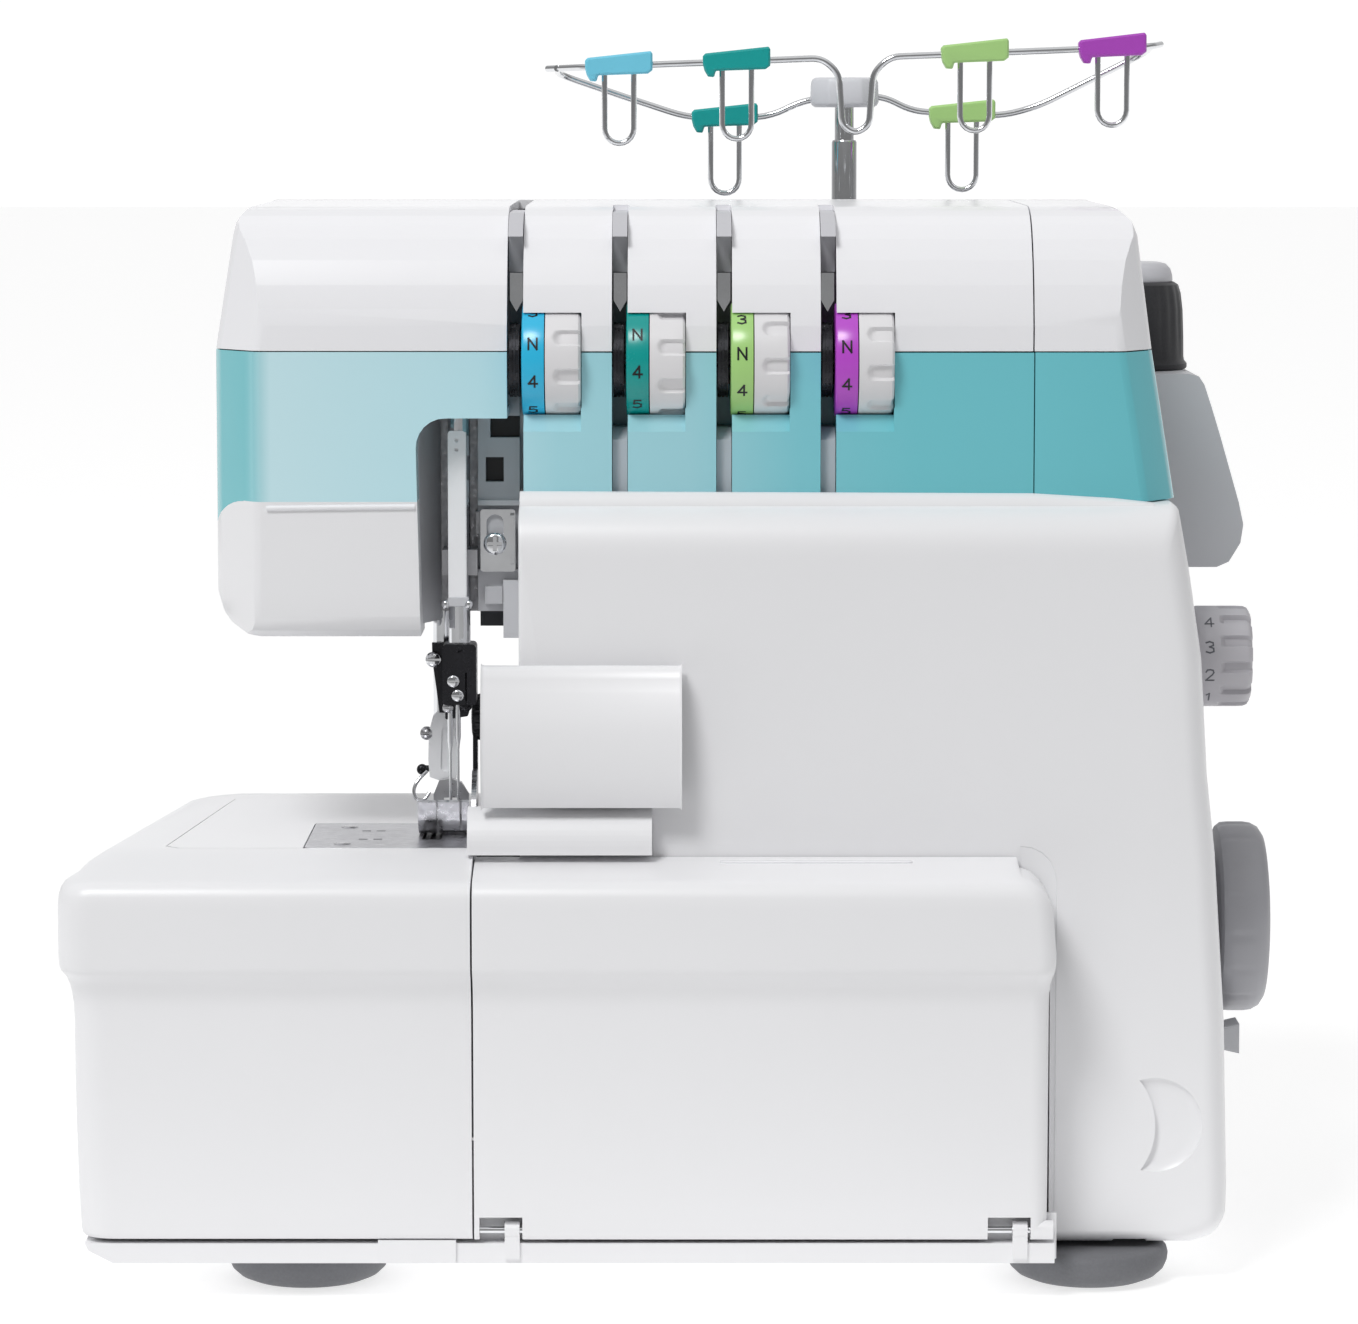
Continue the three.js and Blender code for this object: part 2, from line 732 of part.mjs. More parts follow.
function powerInlet() {
  const body = join(box(142.4, 149.5, 112.5, 129.5, 27.5, 42.5), box(148.5, 152.7, 114, 128, 29, 41));
  return cut(body, box(144.4, 160, 116, 126, 31, 39));
}

const powerRocker = () =>
  alongY(
    [
      [144.5, 26],
      [146.5, 25.6],
      [151.9, 27],
      [150.3, 35],
      [151.9, 43],
      [146.5, 44.4],
      [144.5, 44],
    ],
    134.6,
    143.4,
  );

// ---- Spool stand and thread guide -------------------------------------------------------------------

const SPOOLS = [-1.5, -0.5, 0.5, 1.5].map((n) => POLE_X + n * SPOOL_PITCH);

function spoolStand() {
  const right = (d) => [
    [105.9 - d, STAND_TOP - d],
    [110.6 - d, 224],
    [117.4 - d, 197],
    [114 - d, 187 + d / 2],
    [110 - d, 184.8],
  ];
  const outline = (d) => [
    ...right(d).map(([x, z]) => [POLE_X + x, z]),
    ...right(d).reverse().map(([x, z]) => [POLE_X - x, z]),
  ];
  const front = REAR_BACK + GAP;
  const edge = 4;
  const section = [
    [front, 180],
    [STAND_BACK - edge, 180],
    [STAND_BACK, 190],
    [STAND_BACK, STAND_TOP - edge],
    [STAND_BACK - edge, STAND_TOP],
    [front, STAND_TOP],
  ];
  const outer = alongY(outline(0), front, STAND_BACK).intersect(alongX(section, -80, 180));
  const hollow = alongY(outline(3).map(([x, z]) => [x, z < 188 ? 180 : z]), front + 3, STAND_BACK - 3);
  const socket = rod("z", [POLE_X, STAND_Y], 9, 196, STAND_TOP, 24);
  return cut(join(cut(outer, hollow), socket), rod("z", [POLE_X, STAND_Y], 5.6, 206, 250));
}

const coneHolder = (x) =>
  turned(
    [
      [0, 242.4],
      [18, 242.4],
      [18, 244],
      [17, 245.5],
      [16.4, 262],
      [15, 267],
      [13.2, 268.5],
      [12.6, 273],
      [10, 274.4],
      [0, 274.4],
    ],
    x,
    STAND_Y,
    24,
  );

const poleAt = (profile, bore, from, to) =>
  cut(turned(profile, POLE_X, STAND_Y, 20), bore ? rod("z", [POLE_X, STAND_Y], bore, from, to, 20) : []);
const poleBase = () =>
  poleAt([[0, 206.4], [5.2, 206.4], [5.2, 286], [6, 287], [6, 291], [5, 292], [0, 292]], 4.15, 209, 300);
const poleMid = () => poleAt([[0, 210], [3.8, 210], [3.8, 311], [0, 311]], 3.25, 213, 320);

const BLOCK_Z = [320.6, 329.5];
const FRONT_WIRE = [
  [-39, 183, 332],
  [-27, 168, 332.4],
  [42, 168, 335],
  [47, 168, 330.6],
  [48, 168, 315.5],
  [52, 168, 313],
  [56, 168, 315.5],
  [57, 168, 330.6],
  [62, 168, 335.4],
  [138.5, 168, 338.4],
  [142.6, 180, 339.2],
];
const REAR_WIRE = [
  [-36, 178, 332.1],
  [-36, 196, 330.4],
  [-16, 198, 323.6],
  [3, 198, 317.4],
  [27, 198, 317.6],
  [38, 198, 323],
  [61, 198, 324],
  [70, 198, 319.4],
  [97, 198, 318],
  [108, 198, 321],
  [139.4, 196, 336.8],
  [139.4, 176, 338.6],
];

function poleTop() {
  const [low, high] = BLOCK_Z;
  const block = [
    [39.4, 194],
    [45, 189],
    [54, 189],
    [59.8, 194],
    [59.8, 202],
    [54, 207],
    [45, 207],
    [39.4, 202],
  ];
  const stem = rod("z", [POLE_X, STAND_Y], 2.95, 214, high - 1, 20);
  return cut(join(stem, alongZ(block, low, high)), wire(REAR_WIRE, 1.35));
}

const wireFrame = () => join(wire(FRONT_WIRE, 1), wire(REAR_WIRE, 1));

const CLIPS = [
  { x: -17.6, y: 168, z: 332.7, colour: 0 },
  { x: 17, y: 168, z: 334, colour: 1 },
  { x: 87, y: 168, z: 336.4, colour: 2 },
  { x: 127.4, y: 168, z: 338, colour: 3 },
  { x: 13.8, y: 198, z: 317.5, colour: 1 },
  { x: 85, y: 198, z: 318.6, colour: 2 },
];

function threadClip({ x, y, z }) {
  const wedge = [
    [x - 10, z + 4.4],
    [x - 8, z - 3],
    [x + 10, z - 2.4],
    [x + 9, z + 3],
  ];
  const loop = wire(
    [
      [x - 5, y, z - 1],
      [x - 5, y, z - 24],
      [x + 5, y, z - 24],
      [x + 5, y, z - 1],
    ],
    1.5,
    8,
    4.5,
  );
  const way = y < 190 ? wire(FRONT_WIRE, 1.35) : wire(REAR_WIRE, 1.35);
  return cut(join(alongY(wedge, y - 3, y + 3), loop), way);
}

// ---- Assembly ------------------------------------------------------------------------------------

add("base_tray", baseTray(), WHITE);
add("front_casing", frontCasing(), WHITE);
add("rear_cover", rearCover(), WHITE);
add("top_cover", topCover(), WHITE);
add("tension_fascia", tensionFascia(), TURQUOISE);
add("right_cap", rightCap(), TURQUOISE);
add("face_cover", faceCover(), WHITE);
add("cast_frame", castFrame(), CAST);
[
  [-102, 40],
  [112.5, 40],
  [-102, 126],
  [112.5, 126],
].forEach(([x, y], i) =>
  add(`foot_${i + 1}`, turned([[0, 0], [15, 0], [20, 3], [22, 7], [22, 10.2], [0, 10.2]], x, y), RUBBER),
);
add("needle_plate", needlePlate(), STEEL);
add("waste_chute", wasteChute(), WHITE);
add("thread_rail", box(-63.2, -57.2, 50, 51.6, 187, 233), STEEL);
add("needle_thread_guide", box(-54.5, -45, 56, 58, 195, 211.4), STEEL);
add("tension_discs", tensionDiscs(), CHARCOAL);
add("motor", motor(), CHARCOAL);
add("power_inlet", powerInlet(), CHARCOAL);
add("spool_stand", spoolStand(), LIGHT_GREY);
SPOOLS.forEach((x, i) => add(`cone_holder_${i + 1}`, coneHolder(x), CHARCOAL));
add("pole_base", poleBase(), STEEL);
add("extension_table", extensionTable(), WHITE);
add("cover_hinge_rod", rod("x", COVER_HINGE, 1, -54, 99, 16), STEEL);
add("looper_cover", looperCover(), WHITE);
add("knife_guard", knifeGuard(), WHITE);
[0, 1, 2, 3].forEach((i) => add(`tension_dial_${i + 1}`, tensionDial(i), THREADS[i]));
add("stitch_length_dial", stitchDial(), LIGHT_GREY);
add("feed_lever", feedLever(), LIGHT_GREY);
add("power_rocker", powerRocker(), CHARCOAL);
add("handwheel", handwheel(), LIGHT_GREY);
add("main_shaft", mainShaft(), STEEL);
add("motor_pulley", motorPulley(), STEEL);
add("needle_bar", rod("z", NEEDLE_AT, 3, 164, 276, 16), STEEL);
add("needle_clamp", needleClamp(), CHARCOAL);
add("needle_left", needle(NEEDLES_X[0]), STEEL);
add("needle_right", needle(NEEDLES_X[1]), STEEL);
add("presser_bar", presserBar(), STEEL);
add("presser_foot", presserFoot(), STEEL);
add("lifter_lever", lifterLever(), CHARCOAL);
add("upper_knife", upperKnife(), STEEL);
add("knife_knob", knifeKnob(), CHARCOAL);
add("lower_looper", lowerLooper(), STEEL);
add("upper_looper", upperLooper(), STEEL);
add("feed_dog", feedDog(), STEEL);
add("pole_mid", poleMid(), STEEL);
add("pole_top", poleTop(), LIGHT_GREY);
add("wire_frame", wireFrame(), STEEL);
CLIPS.forEach((clip, i) => add(`thread_clip_${i + 1}`, threadClip(clip), THREADS[clip.colour]));

export default machine;
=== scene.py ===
"""Looks of the overlock machine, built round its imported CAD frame. Lengths below are in millimetres in the
part's own layout: x to the operator's right, y back from the looper cover's front face, z up from the table."""
import json
import math

import bmesh
import bpy
from mathutils import Matrix, Vector


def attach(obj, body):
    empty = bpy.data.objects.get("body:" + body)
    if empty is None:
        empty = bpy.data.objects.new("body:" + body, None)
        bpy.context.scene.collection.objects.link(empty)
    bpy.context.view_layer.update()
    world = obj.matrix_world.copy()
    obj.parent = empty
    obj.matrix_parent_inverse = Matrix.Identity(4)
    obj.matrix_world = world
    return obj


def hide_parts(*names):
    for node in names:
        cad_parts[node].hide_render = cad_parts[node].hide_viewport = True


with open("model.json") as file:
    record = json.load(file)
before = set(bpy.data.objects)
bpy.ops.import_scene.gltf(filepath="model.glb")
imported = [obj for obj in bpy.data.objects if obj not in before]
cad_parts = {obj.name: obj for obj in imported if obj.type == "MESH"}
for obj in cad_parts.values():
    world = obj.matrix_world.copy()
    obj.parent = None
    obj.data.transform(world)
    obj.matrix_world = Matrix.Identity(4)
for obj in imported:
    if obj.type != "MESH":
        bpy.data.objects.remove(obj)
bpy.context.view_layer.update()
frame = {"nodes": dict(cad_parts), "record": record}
NODES = frame["nodes"]
SLOT_OF = {s["node"]: s["material_slot"] for s in frame["record"]["subparts"]}

MM = 0.001
ORIGIN_X, ORIGIN_Y = 0.2, 119.0  # the row frame's origin in the part's layout
BED = 120.8
HEAD_TOP = 293.8
BAND = 255.0
LEDGE = 214.0
PANEL_X, PANEL_PITCH, SLOT = -42.2, 28.3, 4.3
DIAL_Y, DIAL_Z, DIAL_R = 50.0, 252.4, 15.5
POLE_X, STAND_Y = 49.6, 198.0


def P(x, y, z):
    return Vector(((x - ORIGIN_X) * MM, (y - ORIGIN_Y) * MM, z * MM))


# ---- Mesh helpers ---------------------------------------------------------------------------


def new_object(name, mesh):
    obj = bpy.data.objects.new(name, mesh)
    bpy.context.scene.collection.objects.link(obj)
    return obj


def from_faces(name, verts, faces):
    mesh = bpy.data.meshes.new(name)
    mesh.from_pydata([P(*v) for v in verts], [], faces)
    bm = bmesh.new()
    bm.from_mesh(mesh)
    bmesh.ops.remove_doubles(bm, verts=bm.verts, dist=2e-6)
    bmesh.ops.recalc_face_normals(bm, faces=bm.faces)
    bm.to_mesh(mesh)
    bm.free()
    return new_object(name, mesh)


def loft(name, loops, caps=True, closed=False):
    """Skins loops of equal length with quads."""
    n = len(loops[0])
    verts = [p for loop in loops for p in loop]
    faces = []
    rows = len(loops) if closed else len(loops) - 1
    for i in range(rows):
        a, b = i * n, ((i + 1) % len(loops)) * n
        for j in range(n):
            k = (j + 1) % n
            faces.append((a + j, a + k, b + k, b + j))
    if caps and not closed:
        faces.append(tuple(range(n)))
        faces.append(tuple(range((len(loops) - 1) * n, len(loops) * n)))
    return from_faces(name, verts, faces)


def inset(poly, dists):
    """Moves each edge of a counter-clockwise polygon inwards by its own distance."""
    n = len(poly)
    lines = []
    for i in range(n):
        ax, ay = poly[i]
        bx, by = poly[(i + 1) % n]
        ux, uy = bx - ax, by - ay
        size = math.hypot(ux, uy)
        ux, uy = ux / size, uy / size
        lines.append((ax - uy * dists[i], ay + ux * dists[i], ux, uy))
    out = []
    for i in range(n):
        x1, y1, ux, uy = lines[i - 1]
        x2, y2, vx, vy = lines[i]
        cross = ux * vy - uy * vx
        t = ((x2 - x1) * vy - (y2 - y1) * vx) / cross if abs(cross) > 1e-6 else 0
        out.append((x1 + ux * t, y1 + uy * t) if abs(cross) > 1e-6 else (x2, y2))
    return out


def rounded(poly, radii, steps=6):
    """Rounds the corners of a polygon; each corner gives steps + 1 points."""
    out = []
    n = len(poly)
    for i in range(n):
        p, a, b = Vector(poly[i]), Vector(poly[i - 1]), Vector(poly[(i + 1) % n])
        u, v = (a - p).normalized(), (b - p).normalized()
        half = max(0.05, u.angle(v) / 2)
        r = max(radii[i], 0.02)
        reach = min(r / math.tan(half), (a - p).length * 0.48, (b - p).length * 0.48)
        start, end = p + u * reach, p + v * reach
        for k in range(steps + 1):
            t = k / steps
            w = math.cos(half)
            q = (1 - t) ** 2 * start + 2 * t * (1 - t) * w * p * 1.0 + t * t * end
            out.append(tuple(q / ((1 - t) ** 2 + 2 * t * (1 - t) * w + t * t)))
    return out


def layered(name, axis, poly, radii, levels, steps=6):
    """A solid built from inset copies of one outline; levels are (station, edge insets)."""
    loops = []
    for at, dists in levels:
        ring = rounded(inset(poly, dists), radii, steps)
        if axis == "x":
            loops.append([(at, a, b) for a, b in ring])
        elif axis == "y":
            loops.append([(a, at, b) for a, b in ring])
        else:
            loops.append([(a, b, at) for a, b in ring])
    return loft(name, loops)


def slab(name, axis, poly, lo, hi, radii=None, steps=5):
    flat = [0] * len(poly)
    return layered(name, axis, poly, radii or flat, [(lo, flat), (hi, flat)], steps if radii else 1)


def box(name, x0, x1, y0, y1, z0, z1):
    verts = [(x, y, z) for z in (z0, z1) for y in (y0, y1) for x in (x0, x1)]
    faces = [(0, 1, 3, 2), (4, 5, 7, 6), (0, 1, 5, 4), (2, 3, 7, 6), (0, 2, 6, 4), (1, 3, 7, 5)]
    return from_faces(name, verts, faces)


def spin(name, profile, at, axis="z", sides=64, shape=None):
    """A turned piece. Profile is [radius, station]; shape(angle, radius, station) may change the radius."""
    loops = []
    for i in range(sides):
        a = 2 * math.pi * i / sides
        ring = []
        for r, s in profile:
            q = shape(a, r, s) if shape else r
            c, d = q * math.cos(a), q * math.sin(a)
            if axis == "z":
                ring.append((at[0] + c, at[1] + d, s))
            elif axis == "y":
                ring.append((at[0] + c, s, at[1] + d))
            else:
                ring.append((s, at[0] + c, at[1] + d))
        loops.append(ring)
    n = len(profile)
    verts = [p for loop in loops for p in loop]
    faces = []
    for i in range(sides):
        a, b = i * n, ((i + 1) % sides) * n
        for j in range(n - 1):
            faces.append((a + j, a + j + 1, b + j + 1, b + j))
    return from_faces(name, verts, faces)


def tube(name, points, radius, sides=16, smooth=True, cyclic=False):
    """A round wire or rod through points, as a bevelled curve turned into a mesh."""
    data = bpy.data.curves.new(name, "CURVE")
    data.dimensions = "3D"
    data.bevel_depth = radius * MM
    data.bevel_resolution = sides // 4
    data.resolution_u = 6
    data.use_fill_caps = True
    spline = data.splines.new("NURBS" if smooth else "POLY")
    spline.points.add(len(points) - 1)
    for p, q in zip(spline.points, points):
        p.co = (*P(*q), 1)
    if smooth:
        spline.order_u = 3
        spline.use_endpoint_u = True
    spline.use_cyclic_u = cyclic
    curve = new_object(name + "_curve", data)
    dg = bpy.context.evaluated_depsgraph_get()
    mesh = bpy.data.meshes.new_from_object(curve.evaluated_get(dg))
    bpy.data.objects.remove(curve)
    return new_object(name, mesh)


def settle(obj):
    """Applies the modifiers."""
    dg = bpy.context.evaluated_depsgraph_get()
    dg.update()
    mesh = bpy.data.meshes.new_from_object(obj.evaluated_get(dg))
    obj.modifiers.clear()
    obj.data = mesh
    return obj


def carve(obj, *tools, op="DIFFERENCE", keep=False):
    for tool in tools:
        m = obj.modifiers.new("carve", "BOOLEAN")
        m.operation = op
        m.solver = "EXACT"
        m.object = tool
        settle(obj)
        if not keep:
            bpy.data.objects.remove(tool)
    return obj


def copy_of(obj, name):
    return new_object(name, obj.data.copy())


def soften(obj, width=0.4, segments=2, angle=32):
    m = obj.modifiers.new("bevel", "BEVEL")
    m.width = width * MM
    m.segments = segments
    m.limit_method = "ANGLE"
    m.angle_limit = math.radians(angle)
    m.harden_normals = True
    m.use_clamp_overlap = True
    return obj


def shade(obj, angle=38):
    mesh = obj.data
    mesh.shade_smooth()
    mesh.set_sharp_from_angle(angle=math.radians(angle))
    return obj


def finish_piece(obj, body, material, replaces=(), width=0.0, segments=2, angle=32):
    """Gives a piece its material, edges and body, and hides the CAD parts it stands in for."""
    obj.data.materials.clear()
    obj.data.materials.append(material)
    shade(obj)
    if width:
        soften(obj, width, segments, angle)
    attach(obj, body)
    if replaces:
        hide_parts(*replaces)
    return obj


def merge(name, *objs):
    verts, bm = [], bmesh.new()
    for o in objs:
        bm.from_mesh(o.data)
        bpy.data.objects.remove(o)
    mesh = bpy.data.meshes.new(name)
    bm.to_mesh(mesh)
    bm.free()
    return new_object(name, mesh)


def arc(cy, cz, r, a0, a1, n=8):
    out = []
    for k in range(n + 1):
        a = math.radians(a0 + (a1 - a0) * k / n)
        out.append((cy + r * math.cos(a), cz + r * math.sin(a)))
    return out


# ---- Materials ------------------------------------------------------------------------------


def material(name):
    mat = bpy.data.materials.new(name)
    mat.use_nodes = True
    nodes = mat.node_tree.nodes
    return mat, nodes, mat.node_tree.links, nodes["Principled BSDF"]


def noise(nodes, links, scale, detail=3, stretch=None, rough=0.55):
    coord = nodes.new("ShaderNodeTexCoord")
    out = coord.outputs["Object"]
    if stretch:
        mapping = nodes.new("ShaderNodeMapping")
        mapping.inputs["Scale"].default_value = stretch
        links.new(out, mapping.inputs["Vector"])
        out = mapping.outputs["Vector"]
    tex = nodes.new("ShaderNodeTexNoise")
    tex.inputs["Scale"].default_value = scale
    tex.inputs["Detail"].default_value = detail
    tex.inputs["Roughness"].default_value = rough
    links.new(out, tex.inputs["Vector"])
    return tex.outputs["Fac"]


def ramp(nodes, links, source, stops):
    node = nodes.new("ShaderNodeValToRGB")
    elements = node.color_ramp.elements
    while len(elements) < len(stops):
        elements.new(0.5)
    for e, (at, color) in zip(elements, stops):
        e.position = at
        e.color = (*color, 1) if len(color) == 3 else color
    links.new(source, node.inputs["Fac"])
    return node.outputs["Color"]


def grey(v):
    return (v, v, v)


def bump(nodes, links, shader, source, strength, distance):
    node = nodes.new("ShaderNodeBump")
    node.inputs["Strength"].default_value = strength
    node.inputs["Distance"].default_value = distance * MM
    links.new(source, node.inputs["Height"])
    links.new(node.outputs["Normal"], shader.inputs["Normal"])


def linear(r, g, b):
    def f(c):
        c = c / 255
        return c / 12.92 if c <= 0.04045 else ((c + 0.055) / 1.055) ** 2.4

    return (f(r), f(g), f(b))


def plastic(name, color, rough=0.3, spread=0.05, grain=900, depth=0.01, specular=0.5, coat=0.0, vary=0.02):
    """Moulded plastic: slight colour and gloss variation over a fine moulded grain."""
    mat, nodes, links, shader = material(name)
    soft = noise(nodes, links, 18, 4)
    low = tuple(c * (1 - vary) for c in color)
    high = tuple(min(1, c * (1 + vary)) for c in color)
    links.new(ramp(nodes, links, soft, [(0.35, low), (0.65, high)]), shader.inputs["Base Color"])
    patch = noise(nodes, links, 60, 5)
    tone = ramp(nodes, links, patch, [(0.3, grey(max(0, rough - spread))), (0.7, grey(rough + spread))])
    links.new(tone, shader.inputs["Roughness"])
    bump(nodes, links, shader, noise(nodes, links, grain, 2), 0.35, depth)
    shader.inputs["Specular IOR Level"].default_value = specular
    shader.inputs["Coat Weight"].default_value = coat
    shader.inputs["Coat Roughness"].default_value = 0.06
    return mat


def panel_with_painted_light(name, stops, rough=0.2):
    """Glossy coloured panel with painted light in its colour along the machine: a darker left end as painted shade on
    the left return, a pale band as a painted highlight, then deepening to the right as painted shade.
    """
    mat, nodes, links, shader = material(name)
    coord = nodes.new("ShaderNodeTexCoord")
    parts = nodes.new("ShaderNodeSeparateXYZ")
    links.new(coord.outputs["Object"], parts.inputs["Vector"])
    span = nodes.new("ShaderNodeMapRange")
    span.inputs["From Min"].default_value = -0.13
    span.inputs["From Max"].default_value = 0.14
    links.new(parts.outputs["X"], span.inputs["Value"])
    links.new(ramp(nodes, links, span.outputs["Result"], stops), shader.inputs["Base Color"])
    patch = noise(nodes, links, 50, 4)
    tone = ramp(nodes, links, patch, [(0.3, grey(rough - 0.04)), (0.7, grey(rough + 0.05))])
    links.new(tone, shader.inputs["Roughness"])
    bump(nodes, links, shader, noise(nodes, links, 500, 2), 0.25, 0.01)
    shader.inputs["Coat Weight"].default_value = 0.3
    shader.inputs["Coat Roughness"].default_value = 0.08
    return mat


def metal(name, color, rough=0.15, stretch=(1, 1, 1), scale=400, depth=0.004, metallic=1.0):
    """Metal with fine directional scratches and smudged gloss."""
    mat, nodes, links, shader = material(name)
    smudge = noise(nodes, links, 120, 5)
    low, high = tuple(c * 0.9 for c in color), color
    links.new(ramp(nodes, links, smudge, [(0.3, low), (0.7, high)]), shader.inputs["Base Color"])
    fine = noise(nodes, links, scale, 4, stretch)
    tone = ramp(nodes, links, fine, [(0.3, grey(max(0.02, rough * 0.6))), (0.7, grey(min(1, rough * 1.5)))])
    links.new(tone, shader.inputs["Roughness"])
    bump(nodes, links, shader, fine, 0.3, depth)
    shader.inputs["Metallic"].default_value = metallic
    return mat


def matt(name, color, rough=0.8, grain=1500, depth=0.05, sheen=0.2, vary=0.15):
    """Soft matt surface, such as rubber or a felt-like foam."""
    mat, nodes, links, shader = material(name)
    fine = noise(nodes, links, grain, 6, rough=0.7)
    low = tuple(c * (1 - vary) for c in color)
    high = tuple(min(1, c * (1 + vary)) for c in color)
    links.new(ramp(nodes, links, fine, [(0.35, low), (0.65, high)]), shader.inputs["Base Color"])
    patch = noise(nodes, links, 80, 4)
    tone = ramp(nodes, links, patch, [(0.3, grey(rough - 0.08)), (0.7, grey(min(1, rough + 0.08)))])
    links.new(tone, shader.inputs["Roughness"])
    bump(nodes, links, shader, fine, 0.6, depth)
    shader.inputs["Sheen Weight"].default_value = sheen
    shader.inputs["Sheen Roughness"].default_value = 0.4
    return mat


WHITE = plastic("white_abs", linear(243, 243, 245), 0.34, 0.015, 1400, 0.004, vary=0.004)
# Lighter copy of the white plastic for the upper pieces, rims and tabs: painted light, as the top of the machine takes
# more light; it is also slightly glossier.
WHITE_LIT = plastic("white_abs_painted_light", linear(248, 248, 251), 0.26, 0.012, 1400, 0.003, vary=0.004)
# Turquoise for band, fascia and cap: its stops paint light and shade along x, a shaded left return, a pale painted
# highlight and painted shade deepening to the right.
TURQUOISE_PAINTED_LIGHT = panel_with_painted_light(
    "turquoise_painted_light",
    [
        (0.045, linear(116, 198, 206)),
        (0.07, linear(206, 240, 247)),
        (0.28, linear(196, 238, 247)),
        (0.36, linear(172, 226, 236)),
        (0.49, linear(166, 221, 231)),
        (0.6, linear(132, 210, 221)),
        (0.72, linear(118, 206, 216)),
        (1.0, linear(112, 202, 212)),
    ],
)
GREY = plastic("grey_plastic", linear(192, 193, 197), 0.45, 0.06, 1400, 0.02)
PALE_GREY = plastic("pale_grey_plastic", linear(203, 203, 208), 0.4, 0.06, 1400, 0.015)
WHEEL_GREY = plastic("handwheel_plastic", linear(166, 166, 171), 0.42, 0.06, 1200, 0.02)
CHARCOAL = matt("charcoal_foam", linear(44, 44, 47), 0.82, 1800, 0.06, 0.35)
BLACK = plastic("black_plastic", linear(26, 26, 29), 0.38, 0.08, 1600, 0.015)
RUBBER = matt("foot_rubber", linear(112, 113, 117), 0.72, 1200, 0.04, 0.1, 0.06)
CAST = metal("cast_alloy", (0.5, 0.5, 0.52), 0.42, (1, 1, 1), 900, 0.02, 0.85)
FRAME_GREY = plastic("painted_frame", linear(204, 205, 209), 0.45, 0.06, 900, 0.02)
STEEL = metal("ground_steel", (0.62, 0.62, 0.64), 0.24, (1, 14, 1), 260, 0.004)
CHROME = metal("chrome", (0.8, 0.81, 0.83), 0.09, (1, 1, 1), 300, 0.001)
DARK = metal("black_oxide", (0.035, 0.035, 0.04), 0.32, (1, 1, 1), 700, 0.006, 0.75)
INK = plastic("grey_ink", linear(96, 98, 104), 0.5, 0.03, 900, 0.002)
# Flat dark colour set in vents and recesses as painted shadow.
SHADOW = plastic("painted_shadow", linear(58, 60, 64), 0.6, 0.05, 900, 0.01)
DIAL_WHITE = plastic("dial_white", linear(233, 232, 234), 0.34, 0.05, 1200, 0.006, vary=0.01)
STITCH_GREY = plastic("stitch_dial_grey", linear(190, 188, 193), 0.4, 0.05, 1200, 0.01)
BLOCK_GREY = plastic("guide_block_grey", linear(222, 223, 228), 0.35, 0.05, 1200, 0.01)
FOOT_GREY = metal("foot_alloy", (0.6, 0.6, 0.62), 0.34, (1, 1, 1), 600, 0.006, 0.9)
PLATE = metal("brushed_plate", (0.58, 0.58, 0.61), 0.34, (1, 18, 1), 300, 0.003)
# Near-white plastic for the plated rail and the shank: the light colour is a painted reflection standing in for the
# bright plating.
GLINT_WHITE = plastic("rail_painted_reflection", linear(248, 249, 251), 0.16, 0.03, 900, 0.001)
CLIP_COLOURS = [
    plastic("clip_blue", linear(120, 212, 238), 0.35, 0.05, 1200, 0.008),
    plastic("clip_teal", linear(6, 164, 160), 0.35, 0.05, 1200, 0.008),
    plastic("clip_green", linear(176, 220, 138), 0.35, 0.05, 1200, 0.008),
    plastic("clip_purple", linear(180, 74, 196), 0.35, 0.05, 1200, 0.008),
]
RINGS = [
    plastic("ring_blue", linear(48, 192, 236), 0.25, 0.04, 700, 0.004),
    plastic("ring_teal", linear(0, 158, 152), 0.25, 0.04, 700, 0.004),
    plastic("ring_green", linear(172, 219, 132), 0.25, 0.04, 700, 0.004),
    plastic("ring_purple", linear(190, 78, 208), 0.25, 0.04, 700, 0.004),
]
MATERIAL_OF = {
    "white_plastic": WHITE,
    "turquoise_plastic": TURQUOISE_PAINTED_LIGHT,
    "cast_frame": CAST,
    "rubber": RUBBER,
    "steel": STEEL,
    "chrome": CHROME,
    "black_metal": DARK,
    "motor_metal": BLACK,
    "black_plastic": BLACK,
    "grey_plastic": GREY,
    "charcoal_plastic": CHARCOAL,
    "blue_plastic": RINGS[0],
    "teal_plastic": RINGS[1],
    "green_plastic": RINGS[2],
    "purple_plastic": RINGS[3],
}


def dress_cad():
    """Better materials and rounded edges on the CAD pieces that stay visible."""
    for name, obj in NODES.items():
        # The cover rod takes the white plastic instead of its steel so the hinge gap round it reads lighter: painted
        # light.
        mat = WHITE if name == "cover_rod" else MATERIAL_OF[SLOT_OF[name]]
        for s in obj.material_slots:
            s.material = mat
        soften(obj, 0.35, 2, 40)


dress_cad()


# ---- Front covers and base --------------------------------------------------------------------


def front_levels(extra=0.0):
    """Front profile of both front covers as (height, depth back from the front face)."""
    return [
        (17.4, 9.2 + extra),
        (18.0, 8.3 + extra),
        (19.4, 7.8 + extra),
        (30, 7.0 + extra),
        (45, 6.4 + extra),
        (60, 6.0 + extra),
        (72, 5.9 + extra),
        (77, 5.9 + extra),
        (81, 5.6 + extra),
        (84.5, 4.9 + extra),
        (87, 3.9 + extra),
        (89, 2.7 + extra),
        (90.4, 1.4 + extra),
        (91.4, 0.6 + extra),
        (93, 0.15 + extra),
        (96, extra),
        (108.5, extra),
        (111.5, 0.35 + extra),
        (113.6, 1.2 + extra),
        (115, 2.6 + extra),
        (115.7, 4.2 + extra),
        (116.1, 6.2 + extra),
    ]


